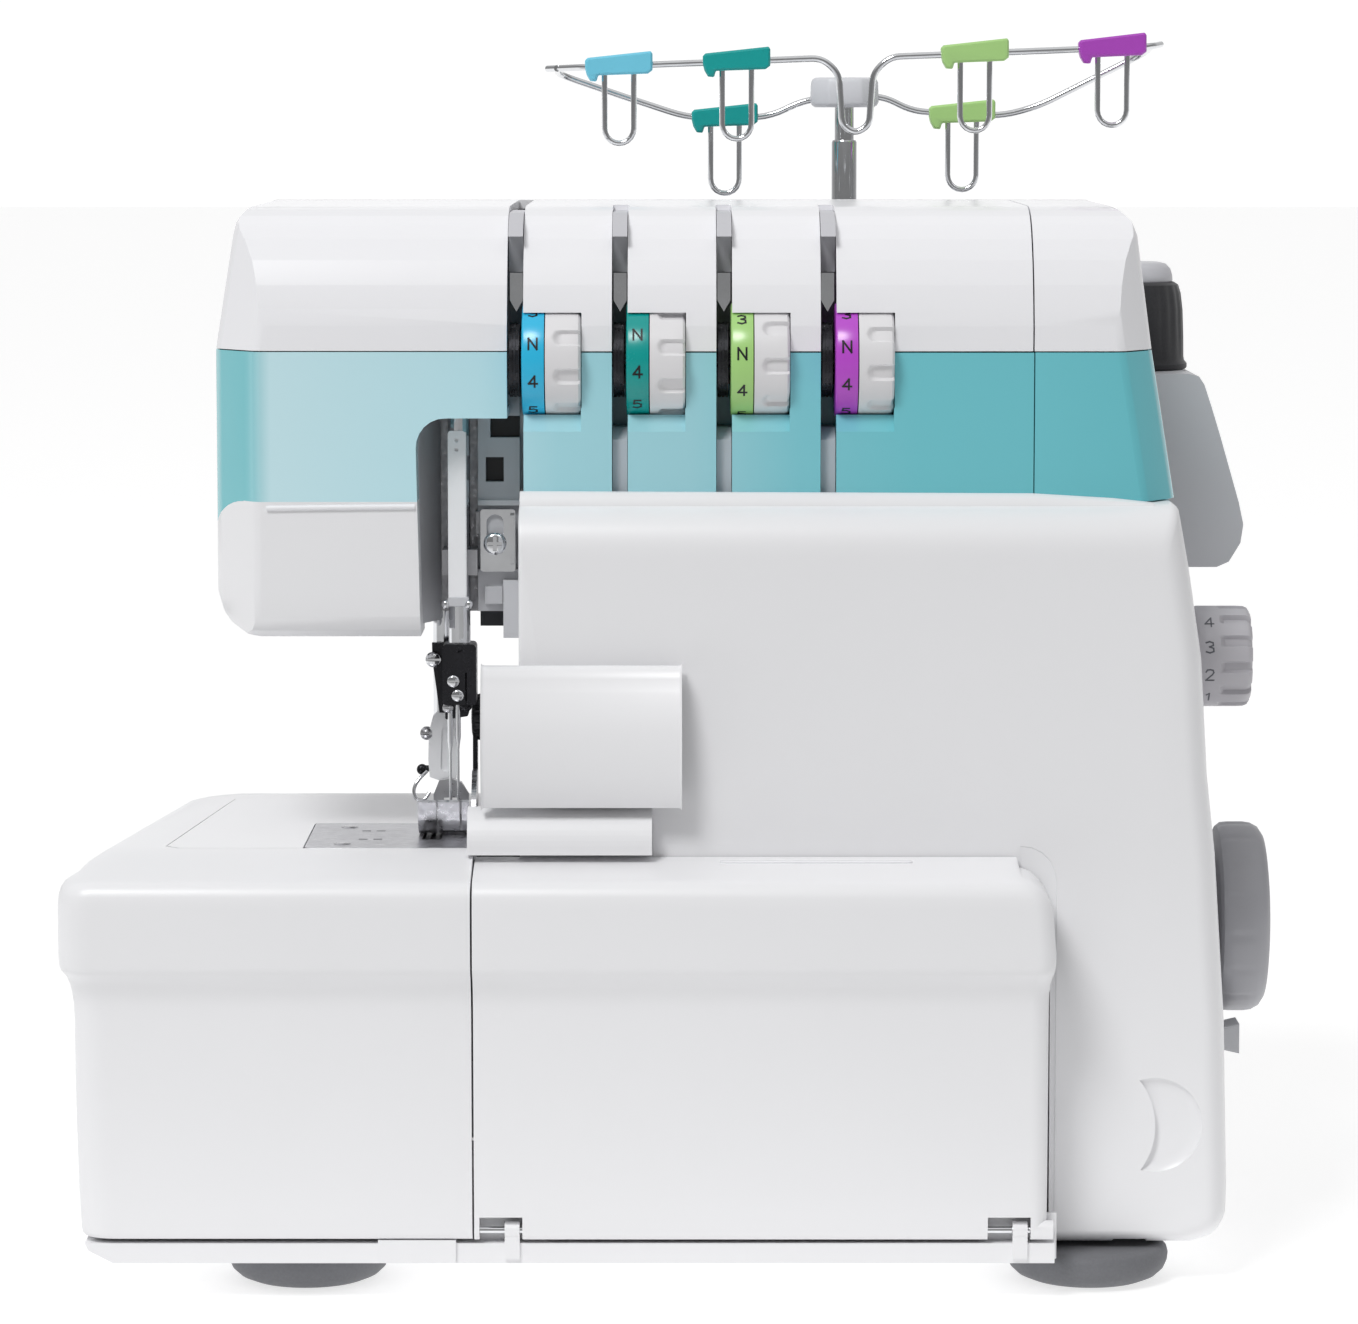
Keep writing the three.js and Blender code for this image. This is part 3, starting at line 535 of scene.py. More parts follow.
def table_solid(name, wall=0.0):
    plan = [(-167.7, 0), (-55.7, 0), (-55.7, 149.4), (-146.6, 149.4)]
    radii = [9 - wall, 0, 0, 15 - wall]
    levels = []
    for z, d in front_levels():
        side = d * 0.55 if z > 100 else min(d, 2.2) * 0.6 + max(0, d - 2.2) * 0.35
        levels.append((z, [d + wall, -wall * 2, side * 0.8 + wall, side + wall]))
    if wall:
        levels = [(8, levels[0][1])] + levels
        levels = [v for v in levels if v[0] <= 108.5]
        for z, d in ((111, 4), (113.2, 6.5), (115.3, 15), (117.3, 24), (118.3, 31)):
            levels.append((z, [d, -wall * 2, 2.5 + d * 0.2, 2.5 + d * 0.22]))
    else:
        levels += [(118.2, [14.5, 0, 4, 4.6]), (119.9, [23, 0, 6, 7]), (BED, [30, 0, 9, 10])]
    return layered(name, "z", plan, radii, levels, 8)


def extension_table():
    shell = table_solid("extension_table_shell")
    arm = [(-50, 30.1), (-136.05, 30.1), (-139.8, 33.7), (-129.1, 128.3), (-50, 128.3)]
    carve(shell, table_solid("inner", 2.5), slab("way", "z", arm[::-1], 8, 130))
    finish_piece(shell, "table", WHITE, ["extension_table"], 0.35, 2, 40)
    grip = slab("table_grip", "y", [(-81.2, 10.9), (-60.2, 10.9), (-60.2, 17.1), (-81.2, 17.1)], 8.6, 14.5)
    finish_piece(grip, "machine", WHITE, (), 0.6, 2, 40)


def arm_skin():
    """White moulding that finishes the top of the free arm around the needle plate."""
    plan = [(-55.5, 30.35), (-55.5, 128), (-128.9, 128), (-139.5, 33.9), (-135.9, 30.35)]
    skin = slab("arm_skin", "z", plan[::-1], 119.4, 120.83)
    carve(skin, slab("seat", "z", [(-102.2, 20), (-50, 20), (-50, 78.1), (-102.2, 78.1)], 110, 130, [0, 0, 2.2, 2.2]))
    finish_piece(skin, "machine", WHITE, (), 0.15, 2, 40)


def looper_cover():
    plan = [(-55.2, 0), (100.9, 0), (100.9, 27.4), (-55.2, 27.4)]
    corner = [(96, 0), (104, 0.2), (108.5, 1.0), (111.5, 2.3), (113.6, 4.0), (115, 5.8), (115.7, 7.4), (116.1, 9)]

    def right(z, d):
        top = [v for h, v in corner if h <= z]
        return max(min(d, 5) * 0.3, top[-1] if top else 0)

    def solid(name, w):
        levels = [(z, [d + w, right(z, d) + w, w, w]) for z, d in front_levels()]
        if w:
            levels = [(8, levels[0][1])] + levels[:-1] + [(116.3 - w, [6 + w, 9 + w, -4, w])]
            levels.append((118.6 - w, [22 + w, 9.4 + w, -4, w]))
            return layered(name, "z", plan, [3, 4, 0.5, 0.5], levels, 6)
        levels += [(117.2, [13, 9.2, 0, 0]), (118.2, [20, 9.3, 0, 0]), (118.8, [25.5, 9.4, 0, 0])]
        return layered(name, "z", plan, [0.4, 5, 0.5, 0.5], levels, 6)

    shell = carve(solid("looper_cover_shell", 0.0), solid("inner", 2.5))
    barrel = spin("barrel", [(0, -55.2), (2.6, -55.2), (2.6, 100.9), (0, 100.9)], (10.4, 19.6), "x", 32)
    carve(shell, barrel, op="UNION")
    carve(shell, spin("bore", [(0, -58), (1.35, -58), (1.35, 104), (0, 104)], (10.4, 19.6), "x", 24))
    for x in (-47, 90):
        carve(shell, box("notch", x - 6.8, x + 4.8, -1, 20, 8, 23.6))
    carve(shell, box("way_left", -57, -51.5, 13.4, 40, 8, 100), box("way_right", 97, 104, 13.4, 40, 8, 100))
    finish_piece(shell, "cover", WHITE, ["looper_cover"], 0.3, 2, 45)
    pull = slab("cover_pull", "z", [(11, 19.6), (63, 19.6), (63, 22.2), (11, 22.2)], 118.0, 118.75, [1.0] * 4)
    finish_piece(pull, "cover", WHITE_LIT, (), 0.25, 2, 45)
    # Inside face, seen when the cover is tipped open: ribs and a spare needle case.
    for i, x in enumerate((-20, 22, 64)):
        rib = slab(f"cover_rib_{i}", "x", [(8.2, 26), (12, 26), (10.6, 84), (8.2, 84)], x, x + 1.6)
        finish_piece(rib, "cover", WHITE, (), 0.3, 2, 40)
    case = slab("needle_case", "y", [(28, 44), (58, 44), (58, 62), (28, 62)], 9.2, 14, [2] * 4)
    finish_piece(case, "cover", PALE_GREY, (), 0.6, 2, 40)


def base():
    """A vented underside whose vents are dark slabs of painted shadow, and screens that close the hinge notches from
    behind.
    """
    for i, x in enumerate((-47, 90)):
        screen = box(f"hinge_screen_{i}", x - 7.4, x + 12.2, 13.9, 15.0, 10.8, 23.5)
        finish_piece(screen, "machine", WHITE, (), 0.2, 2, 40)
    for i in range(9):
        x = -40 + i * 11
        slot = slab(f"vent_{i}", "z", [(x, 96), (x + 5, 96), (x + 5, 136), (x, 136)], 10.2, 10.55, [2.4] * 4)
        finish_piece(slot, "machine", SHADOW, (), 0)


FEET = [(-102, 40), (112.5, 40), (-102, 126), (112.5, 126)]


def feet():
    for i, (x, y) in enumerate(FEET):
        profile = [
            (0, 0.9),
            (8.5, 0.9),
            (9.2, 0.2),
            (13.5, 0.0),
            (16.5, 0.5),
            (19.3, 1.7),
            (21.2, 3.5),
            (22.1, 5.6),
            (22.3, 7.4),
            (21.9, 8.9),
            (20.8, 9.9),
            (19.2, 10.2),
            (0, 10.2),
        ]
        foot = spin(f"rubber_foot_{i + 1}", profile, (x, y), "z", 64)
        finish_piece(foot, "machine", RUBBER, [f"foot_{i + 1}"], 0.25, 2, 35)


# ---- Casing -----------------------------------------------------------------------------------


def casing():
    low = BED + 0.4
    right = [
        (141.6, 10.6),
        (147.6, 12.6),
        (150.5, 18),
        (150.7, 26),
        (149.5, 72),
        (146.5, 118),
        (144.1, 140),
        (142.2, 172),
        (138.6, 196),
        (135.3, LEDGE),
    ]
    poly = [(-43.4, low), (102, low), (102, 10.6)] + right + [(-43.4, LEDGE)]
    n = len(poly)
    radii = [0.3, 9.5, 1.5] + [3, 5, 5, 10, 12, 12, 12, 14, 10, 2.5] + [0.8]

    def dists(t, w=0.0):
        """Edge insets of the front fillet; t runs from 0 at the front face to 1 where it ends."""
        q = 1 - math.sqrt(max(0, 1 - (1 - t) ** 2))
        sharp = 1 - math.sqrt(max(0, 1 - max(0, 1 - t * 4) ** 2))
        bulge = 1 - math.sqrt(max(0, 1 - (1 - t) ** 2))
        out = [0.5 * sharp + w, 0.6 * sharp + w, 5 * q + w]
        out += [7 * q + w] * 9
        out += [14 * bulge + w, 1.0 * sharp + w]
        return out

    steps = [0, 0.02, 0.06, 0.12, 0.2, 0.3, 0.42, 0.56, 0.72, 0.88, 1.0]
    front = [(28 + 12 * t, dists(t)) for t in steps]
    shell = layered("casing_shell", "y", poly, radii, front + [(150, dists(1.0))], 5)
    inner_front = [(30.5 + 12 * t, dists(t, 2.5)) for t in steps]
    inner = layered("inner", "y", poly, [max(0.3, r - 2.5) for r in radii], inner_front + [(152, dists(1.0, 2.5))], 5)
    carve(shell, inner)
    carve(shell, box("open_floor", -40.9, 93, 30.5, 152, 118, 124), box("open_end", 92, 104.4, 30.5, 152, 108, 124))
    corner = [(92, 122.4), (92, 115.6), (95.5, 114.2), (98.4, 111.4), (100.2, 107.4), (100.9, 102)]
    corner += [(101.1, 12.5), (103.2, 12.5), (103.2, 122.4)]
    carve(shell, box("rear_lip", -43.2, 92.5, 28.0, 30.2, 116.4, BED + 1.5), op="UNION")
    carve(shell, slab("corner_lip", "y", corner, 28.2, 30.2), op="UNION")
    carve(shell, box("bay_end", 101, 104.6, 82, 152, 9, 124))
    carve(shell, box("column_way", 16, 62, 56, 144, 205, 220))
    carve(shell, box("knife_service", -36, -8, 20, 34, 126, 160))
    carve(shell, spin("knife_bore", [(0, -50), (3.2, -50), (3.2, -38), (0, -38)], (73.5, 151.5), "x", 24))
    carve(shell, spin("shaft_bore", [(0, 140), (9, 140), (9, 160), (0, 160)], (100, 91), "x", 40))
    carve(shell, spin("dial_bore", [(0, 135), (4, 135), (4, 160), (0, 160)], (90, 166.8), "x", 24))
    lever = slab("lever_way", "x", [(77.2, 46), (83, 46), (83, 74), (77.2, 74)], 140, 160, [2.8] * 4)
    carve(shell, lever, box("inlet_way", 138, 160, 112, 130, 27, 43), box("rocker_way", 138, 160, 134, 144, 25, 45))
    # Crescent finger recess low on the right of the front face.
    dish = spin("dish", [(0, 24), (13.2, 24), (13.0, 28.4), (12.2, 29.0), (10, 29.6), (5, 29.9), (0, 30.0)], (129.7, 44.8), "y", 96)
    bite = spin("bite", [(0, 20), (20.4, 20), (20.4, 29.4), (19.6, 31), (19.6, 40), (0, 40)], (109.6, 44.4), "y", 128)
    carve(dish, bite)
    carve(shell, dish)
    loops = []
    for x, h in ((-43.2, 217.3), (96, 216.7), (118, 215.4), (129, 214.2)):
        loops.append([(x, 36.4, 212.8), (x, 39.9, 212.8), (x, 39.9, h), (x, 38.4, h - 0.2), (x, 37.0, h * 0.4 + 128.4)])
    finish_piece(loft("casing_lip", loops), "machine", WHITE, (), 0, 2, 45)
    notch = slab("foot_notch", "y", [(118, 8), (129, 8), (128, 12.6), (119, 12.6)], 24, 60)
    carve(shell, notch)
    finish_piece(shell, "machine", WHITE, ["front_casing"], 0.35, 2, 45)


def guard():
    """The curved knife guard: two crisp creases near its top, falling back to its lower edge."""
    front = [
        (26.0, 171.0),
        (25.2, 171.3),
        (23.4, 171.0),
        (22.2, 170.0),
        (21.2, 168.0),
        (20.3, 164.9),
        (19.9, 164.3),
        (18.6, 158.4),
        (18.3, 157.7),
        (17.5, 153),
        (17.2, 148),
        (17.5, 143),
        (18.4, 138.6),
        (19.9, 134.6),
        (20.7, 133.1),
    ]
    back = [(22.4, 133.4), (21.2, 136.5), (20, 141), (19.5, 148), (20.2, 155), (21.6, 160), (24, 165.0), (27.3, 166.2)]
    section = front + back
    loops = []
    for x, d in ((-53.4, 0.5), (-53.0, 0.15), (-52.4, 0), (0.0, 0), (0.5, 0.15), (0.8, 0.5)):
        ring = inset([(y, z) for y, z in section[::-1]], [d] * len(section))
        loops.append([(x, y, z) for y, z in ring])
    shell = loft("knife_guard_shell", loops)
    end = slab("end", "x", [(21.8, 168), (27.2, 166), (25.5, 152), (21, 136), (19, 140), (18.4, 150), (20, 160)], -53.2, -51.4)
    carve(shell, end, op="UNION")
    finish_piece(shell, "guard", WHITE, ["knife_guard"], 0.2, 2, 60)


def chute():
    """Concave ramp that leads trimmings from under the guard over the looper cover."""
    section = [(19.4, 120.4), (27.5, 120.4), (27.5, 132.6), (27.0, 132.6)]
    section += [(27.5 - 7.9 * math.sin(a) ** 1.3, 132.6 - 11.4 * (1 - math.cos(a))) for a in [k * 0.13 for k in range(1, 13)]]
    ramp_solid = slab("waste_ramp", "x", section, -57.2, -7.3)
    finish_piece(ramp_solid, "machine", WHITE, ["waste_chute"], 0.25, 2, 40)


# ---- Head, top cover and coloured band ----------------------------------------------------------


DEPTHS = [40, 40.6, 41.5, 43, 45, 47.5, 50.5, 54, 58, 62, 67, 72, 150]
CROWN = [(40, 262), (41, 266.5), (43, 273), (46, 279.6), (50, 285.2), (54, 289), (58, 291.3), (62, 292.7), (67, 293.6)]


def along(stations, at):
    """Value at a station, read from (station, value) pairs."""
    for (a, va), (b, vb) in zip(stations, stations[1:]):
        if at <= b:
            return va + (vb - va) * max(0, at - a) / (b - a)
    return stations[-1][1]


def arm_block(name, left, right, low, high, facet, w=0.0, back=0.0):
    """Block whose left and right edges lean with height, with faceted front corners."""
    loops = []
    levels = [low] + [z for z in (190, 214, 255, 270, 280, 286, 289.5, 291.5, 293, 294) if low < z < high] + [high]
    for z in levels:
        xl, xr = along(left, z) + w, along(right, z) - w
        cut_l, deep_l, cut_r, deep_r = facet
        front = 40 + w
        ring = [(xl, front + deep_l), (xl + cut_l, front), (xr - cut_r, front), (xr, front + deep_r)]
        ring += [(xr, 150 + back), (xl, 150 + back)]
        ring = rounded(ring, [9, 3.2, 3.2, 9, 0.3, 0.3], 6)
        loops.append([(x, y, z) for x, y in ring])
    return loft(name, loops)


def arm_side(w=0.0, low=170, back=0.0):
    """Side silhouette of the arm and head: rolled lower edge, upright band, tilted and crowned top."""
    side = [(y, z - w) for y, z in CROWN]
    side = [(y + w, z) for y, z in side] + [(72 + w, HEAD_TOP - w), (150 + back, HEAD_TOP - w)]
    under = [(40 + w, low + 6 + w), (41.6 + w, low + 2.2 + w), (46 + w, low + w)]
    if low > 180:
        under = [(40 + w, low)]
    poly = under[::-1] + side + [(150 + back, low + (w if low < 180 else 0))]
    return slab("side", "x", poly[::-1], -140, 150)


HEAD_LEFT = [(170, -127), (255, -127), (286, -122), (290, -121), (293, -118.6), (296, -114)]
COVER_RIGHT = [(170, 143.2), (214, 136.0), (255.4, 129.3), (286, 125.2), (290, 123.6), (293, 120.4), (296, 114)]


def head_solid(name, w=0.0):
    back = 3 if w else 0
    right = [(160, -46.6 + (6 if w else 0)), (300, -46.6 + (6 if w else 0))]
    block = arm_block(name, HEAD_LEFT, right, 165, 296, (12, 15, 0.1, 0.1), w, back)
    outline = [(-116, 177), (-70.4, 177), (-71.6, 237), (-30, 237), (-30, 300), (-127.4, 300), (-127.4, 190), (-124, 181.5)]
    outline = inset(outline, [w] * 8)
    face = slab("outline", "y", outline, 30, 160, [7, 0.4, 8, 0.3, 0.3, 0.3, 5, 6], 6)
    return carve(block, arm_side(w, 177, back), face, op="INTERSECT")


def head():
    full = carve(head_solid("head_full"), head_solid("inner", 2.5))
    carve(full, box("cast_way", -81, -40, 64.4, 153, 170, 287), box("bar_way", -70, -54, 46, 66, 234, 242))
    carve(full, box("lifter_way", -98, -82, 100, 152, 170, 183))
    low = [(-118, 160), (-40, 160), (-40, 214.3), (-118.6, 214.3)] + arc(-118.4, 205.4, 8.8, 92, 176, 8)
    low += [(-127.4, 187), (-127.2, 182), (-126, 160)]
    flat = sorted(low, key=lambda q: 0)
    low_tool = slab("low", "y", flat, 35, 155)
    white_low = copy_of(full, "head_lower")
    carve(white_low, low_tool, op="INTERSECT", keep=True)
    band = copy_of(full, "head_band")
    carve(band, low_tool, box("over", -140, -30, 30, 160, BAND, 300))
    white_top = copy_of(full, "head_upper")
    carve(white_top, box("over", -140, -30, 30, 160, BAND + 0.3, 300), op="INTERSECT")
    bpy.data.objects.remove(full)
    finish_piece(white_low, "machine", WHITE, (), 0.5, 3, 45)
    finish_piece(band, "machine", TURQUOISE_PAINTED_LIGHT, (), 0.25, 2, 45)
    finish_piece(white_top, "machine", WHITE_LIT, ["face_cover"], 0.4, 2, 45)
    # Raised, softly rounded rim along the top edge of the white lower face, in the lighter white as a painted
    # highlight.
    rim = [(-71.8, 39.9, 213.0), (-90, 39.8, 212.9), (-112, 39.8, 212.6)]
    bead = tube("head_rim", rim, 0.7, 12)
    finish_piece(bead, "machine", WHITE_LIT, (), 0)


def slot_left(i):
    return PANEL_X - SLOT + i * PANEL_PITCH


def dial_left(i):
    return PANEL_X - 0.4 + i * PANEL_PITCH


def windows(grow=0.6):
    """Cutters for the four dial openings; each is open towards the thread slot on its left."""
    tools = []
    for i in range(4):
        x0, x1 = dial_left(i) - 2, dial_left(i) + 16.2
        r = DIAL_R + grow
        tools.append(spin("window", [(0, x0), (r, x0), (r, x1), (0, x1)], (DIAL_Y, DIAL_Z), "x", 64))
    return tools


def top_cover():
    def solid(name, w):
        back = 3 if w else 0
        left = [(160, PANEL_X - (10 if w else 0)), (300, PANEL_X - (10 if w else 0))]
        block = arm_block(name, left, COVER_RIGHT, BAND + 0.2 - (5 if w else 0), 296, (0.1, 0.1, 9, 13), w, back)
        return carve(block, arm_side(w, 200, back), op="INTERSECT")

    shell = carve(solid("top_cover_shell", 0.0), solid("inner", 2.5))
    for i in (1, 2, 3):
        carve(shell, box("slot", slot_left(i), slot_left(i) + SLOT, 30, 84, 240, 300))
    carve(shell, *windows())
    carve(shell, box("seam", 95.9, 96.3, 30, 152, 250, 300))
    finish_piece(shell, "machine", WHITE_LIT, ["top_cover"], 0.5, 3, 45)


def fascia():
    block = box("fascia", PANEL_X, 96.2, 40, 66, LEDGE + 0.4, BAND - 0.2)
    for i in (1, 2, 3):
        carve(block, box("slot", slot_left(i), slot_left(i) + SLOT, 30, 62, 200, 260))
    carve(block, *windows())
    carve(block, box("shaft_way", -60, 100, 47.2, 52.8, 249.6, 260))
    for i in range(4):
        # Finger scoop below each dial: a shallow recess with a sloping floor.
        x0, x1 = dial_left(i) - 2, dial_left(i) + 16.0
        scoop = slab("scoop", "x", [(30, 233.4), (40.0, 233.4), (43.2, 237.6), (44.6, 246), (30, 246)], x0, x1)
        carve(block, scoop)
    finish_piece(block, "machine", TURQUOISE_PAINTED_LIGHT, ["tension_fascia"], 0.4, 3, 40)


def cap():
    left = [(160, 96.5), (300, 96.5)]
    shell = arm_block("right_cap_shell", left, COVER_RIGHT, LEDGE + 0.4, BAND - 0.15, (0.1, 0.1, 9, 13))
    carve(shell, arm_block("inner", left, COVER_RIGHT, LEDGE - 5, BAND + 5, (0.1, 0.1, 9, 13), 2.4, 3))
    carve(shell, box("way", 90, 125, 70, 153, 210, 260))
    finish_piece(shell, "machine", TURQUOISE_PAINTED_LIGHT, ["right_cap"], 0.3, 2, 40)


def rear_details():
    """Louvres as dark slabs of painted shadow, and screws on the back of the rear cover."""
    for i in range(7):
        z = 46 + i * 9
        slot = slab(f"rear_vent_{i}", "y", [(70, z), (118, z), (118, z + 3.4), (70, z + 3.4)], 167.6, 168.15, [1.6] * 4)
        finish_piece(slot, "machine", SHADOW, (), 0)
    for i, (x, z) in enumerate(((-30, 26), (136, 26), (-30, 160), (136, 150), (-110, 200), (112, 270), (-100, 278))):
        head_screw(f"rear_screw_{i}", "y", (x, z), 168.1, 3.6, 1)


def head_screw(name, axis, at, face, radius, sense, body="machine", mat=None, slotted=False, depth=None):
    """A pan-head screw whose head stands proud of a face; sense is the way it points along the axis."""
    h = depth or radius * 0.55
    profile = [(0, face), (radius, face), (radius, face + sense * h * 0.35)]
    profile += [(radius * math.cos(a), face + sense * h * (0.35 + 0.65 * math.sin(a))) for a in (0.4, 0.8, 1.15)]
    profile += [(radius * 0.2, face + sense * h), (0, face + sense * h)]
    head_obj = spin(name, profile, at, axis, 28)
    w, deep = radius * 0.16, h * 0.55
    top = face + sense * h
    lo, hi = sorted((top + sense * 0.5, top - sense * deep))
    for k in range(1 if slotted else 2):
        u, v = (radius * (1.3 if slotted else 0.62), w) if k == 0 else (w, radius * 0.62)
        a, b = at
        if axis == "y":
            tool = box("drive", a - u, a + u, lo, hi, b - v, b + v)
        elif axis == "x":
            tool = box("drive", lo, hi, a - u, a + u, b - v, b + v)
        else:
            tool = box("drive", a - u, a + u, b - v, b + v, lo, hi)
        carve(head_obj, tool)
    finish_piece(head_obj, body, mat or CHROME, (), 0)
    return head_obj

# ---- Tension dials ----------------------------------------------------------------------------

DIGITS = {
    "N": [[(0, 0), (0, 1), (0.72, 0), (0.72, 1)]],
    "2": [[(0, 0.78), (0.12, 0.96), (0.36, 1), (0.6, 0.94), (0.68, 0.74), (0.56, 0.54), (0, 0), (0.7, 0)]],
    "3": [[(0, 0.9), (0.3, 1), (0.6, 0.9), (0.62, 0.66), (0.28, 0.53), (0.64, 0.4), (0.66, 0.12), (0.32, 0), (0, 0.1)]],
    "4": [[(0.52, 0), (0.52, 1), (0, 0.3), (0.74, 0.3)]],
    "5": [[(0.62, 1), (0.08, 1), (0.04, 0.56), (0.36, 0.64), (0.66, 0.48), (0.64, 0.14), (0.34, 0), (0, 0.1)]],
    "6": [[(0.6, 0.96), (0.2, 0.86), (0.02, 0.4), (0.14, 0.06), (0.4, 0), (0.66, 0.16), (0.62, 0.48), (0.34, 0.58), (0.04, 0.4)]],
    "1": [[(0.16, 0.8), (0.4, 1), (0.4, 0)]],
}


def glyph(name, char, place, size, thick=0.14):
    """Flat-stroke character; place maps (u, v, lift) in millimetres to design coordinates."""
    verts, faces = [], []
    for line in DIGITS[char]:
        short = [line[0]]
        for (a, b), (c, d) in zip(line, line[1:]):
            n = max(1, int(math.hypot(c - a, d - b) / 0.2))
            short += [(a + (c - a) * k / n, b + (d - b) * k / n) for k in range(1, n + 1)]
        for (a, b), (c, d) in zip(short, short[1:]):
            ux, uy = c - a, d - b
            n = math.hypot(ux, uy)
            ux, uy = ux / n, uy / n
            ext = thick * 0.45
            a2, b2, c2, d2 = a - ux * ext, b - uy * ext, c + ux * ext, d + uy * ext
            px, py = -uy * thick / 2, ux * thick / 2
            quad = [(a2 + px, b2 + py), (a2 - px, b2 - py), (c2 - px, d2 - py), (c2 + px, d2 + py)]
            k = len(verts)
            for lift in (0.0, 0.09):
                verts += [place((u - 0.36) * size, (v - 0.5) * size, lift) for u, v in quad]
            faces += [(k, k + 1, k + 2, k + 3), (k + 4, k + 5, k + 6, k + 7)]
            faces += [(k + i, k + (i + 1) % 4, k + 4 + (i + 1) % 4, k + 4 + i) for i in range(4)]
    mesh_obj = from_faces(name, verts, faces)
    return mesh_obj


def dial(i):
    """One tension dial: coloured number ring on its left, off-white grooved drum on its right."""
    body = f"dial_{i + 1}"
    x0 = dial_left(i)
    split, x1 = x0 + 6.1, x0 + 16
    r = DIAL_R
    at = (DIAL_Y, DIAL_Z)
    ring_profile = [(3, x0), (r - 0.9, x0), (r - 0.25, x0 + 0.2), (r, x0 + 0.7), (r, split), (3, split)]
    ring = spin(f"dial_ring_{i + 1}", ring_profile, at, "x", 96)
    finish_piece(ring, body, RINGS[i], (), 0)
    pitch = 9
    phase = (0.35, 0.1, 0.62, 0.45)[i]

    def groove(a, q, s):
        u = (a / (2 * math.pi) * pitch + phase) % 1.0
        edge = min(u, 0.42 - u) if u < 0.42 else -1
        if s <= split + 2.1 or edge < 0 or q < r - 2:
            return q
        left = split + 2.4
        reach = min(1, edge / 0.05)
        round_end = min(1, max(0, (s - left) / 1.2 - 0.9 * (1 - min(1, edge / 0.2)) ** 2 * 1.2))
        return q - 1.15 * reach * round_end

    stations = [split, split + 0.3, split + 1.6, split + 2.2, split + 2.6, split + 3, split + 3.5, split + 4.1]
    stations += [split + 5, split + 6.5, split + 8, x1 - 0.7, x1 - 0.2]
    drum_profile = [(3, split + 0.02)] + [(r - 0.05, s) for s in stations[1:-2]]
    drum_profile += [(r - 0.15, x1 - 0.7), (r - 0.7, x1 - 0.15), (r - 1.4, x1), (3, x1)]
    drum = spin(f"dial_drum_{i + 1}", drum_profile, at, "x", 360, groove)
    finish_piece(drum, body, DIAL_WHITE, [f"tension_dial_{i + 1}"], 0)
    turn = (-19.0, -29.0, -9.0, -16.0)[i]
    for k, char in enumerate(("6", "5", "4", "N", "3", "2", "1")):
        angle = math.radians(180 + turn + (3 - k) * 38.5)

        def place(u, v, lift, angle=angle):
            a = angle - v / r
            q = r - 0.03 + lift
            return (x0 + 3.1 + u, DIAL_Y + q * math.cos(a), DIAL_Z + q * math.sin(a))

        finish_piece(glyph(f"dial_mark_{i + 1}_{k}", char, place, 3.1, 0.17), body, BLACK, (), 0)
    hub = spin(f"dial_hub_{i + 1}", [(0, x0 + 0.2), (3.4, x0 + 0.2), (3.4, x1 - 0.4), (0, x1 - 0.4)], at, "x", 32)
    finish_piece(hub, body, PALE_GREY, (), 0)


def dials():
    for i in range(4):
        dial(i)
        x = slot_left(i)
        discs = []
        for k, (a, b) in enumerate(((0.7, 1.3), (1.6, 2.2), (2.6, 3.2))):
            profile = [(2, x + a), (9.2, x + a), (10.2, x + a + (-0.25, 0, 0.25)[k]), (10.2, x + b), (2, x + b)]
            discs.append(spin(f"disc_{i}_{k}", profile, (DIAL_Y, DIAL_Z), "x", 48))
        plates = merge(f"tension_plates_{i + 1}", *discs)
        finish_piece(plates, "machine", DARK, [f"tension_discs_{i + 1}"] if f"tension_discs_{i + 1}" in NODES else ())


def slot_liners():
    """What shows in the thread slots: a pale block, a dark gap, a guide tongue and a lower block."""
    for i in range(4):
        a = slot_left(i) + 0.15
        b = slot_left(i) + SLOT - 0.15
        if i == 0:
            b = PANEL_X - 0.2
        upper = slab(f"slot_block_{i}", "x", [(46, 286), (84, 286), (84, 292.4), (58, 292.2), (50, 289.6)], a, b)
        finish_piece(upper, "machine", PALE_GREY, (), 0.3)
        wall = slab(f"slot_wall_{i}", "x", [(66, 216), (84.2, 216), (84.2, 286), (62, 285.6)], a, b)
        finish_piece(wall, "machine", GREY, (), 0)
        plate = slab(f"slot_plate_{i}", "x", [(53.6, 276.2), (56, 276.2), (56, 285.9), (51.6, 285.9)], a, b)
        finish_piece(plate, "machine", GREY, (), 0.1)
        xm = (a + b) / 2
        tongue = [(a + 0.2, 276), (a + 0.2, 268.5), (xm, 265.4), (b - 0.2, 268.5), (b - 0.2, 276)]
        guide = slab(f"slot_guide_{i}", "y", tongue, 52.6, 53.4)
        finish_piece(guide, "machine", CHROME, (), 0.2)
        fold = slab(f"slot_fold_{i}", "x", [(53.4, 275.2), (61.8, 275.2), (61.8, 276), (53.4, 276)], a + 0.2, b - 0.2)
        finish_piece(fold, "machine", CHROME, (), 0.1)
        low = slab(f"slot_lower_{i}", "x", [(43.5, 216), (62, 216), (62, 234), (50, 234), (43.5, 231)], a, b)
        if i:
            finish_piece(low, "machine", PALE_GREY, (), 0.3)
        else:
            bpy.data.objects.remove(low)


# ---- Needle area --------------------------------------------------------------------------------


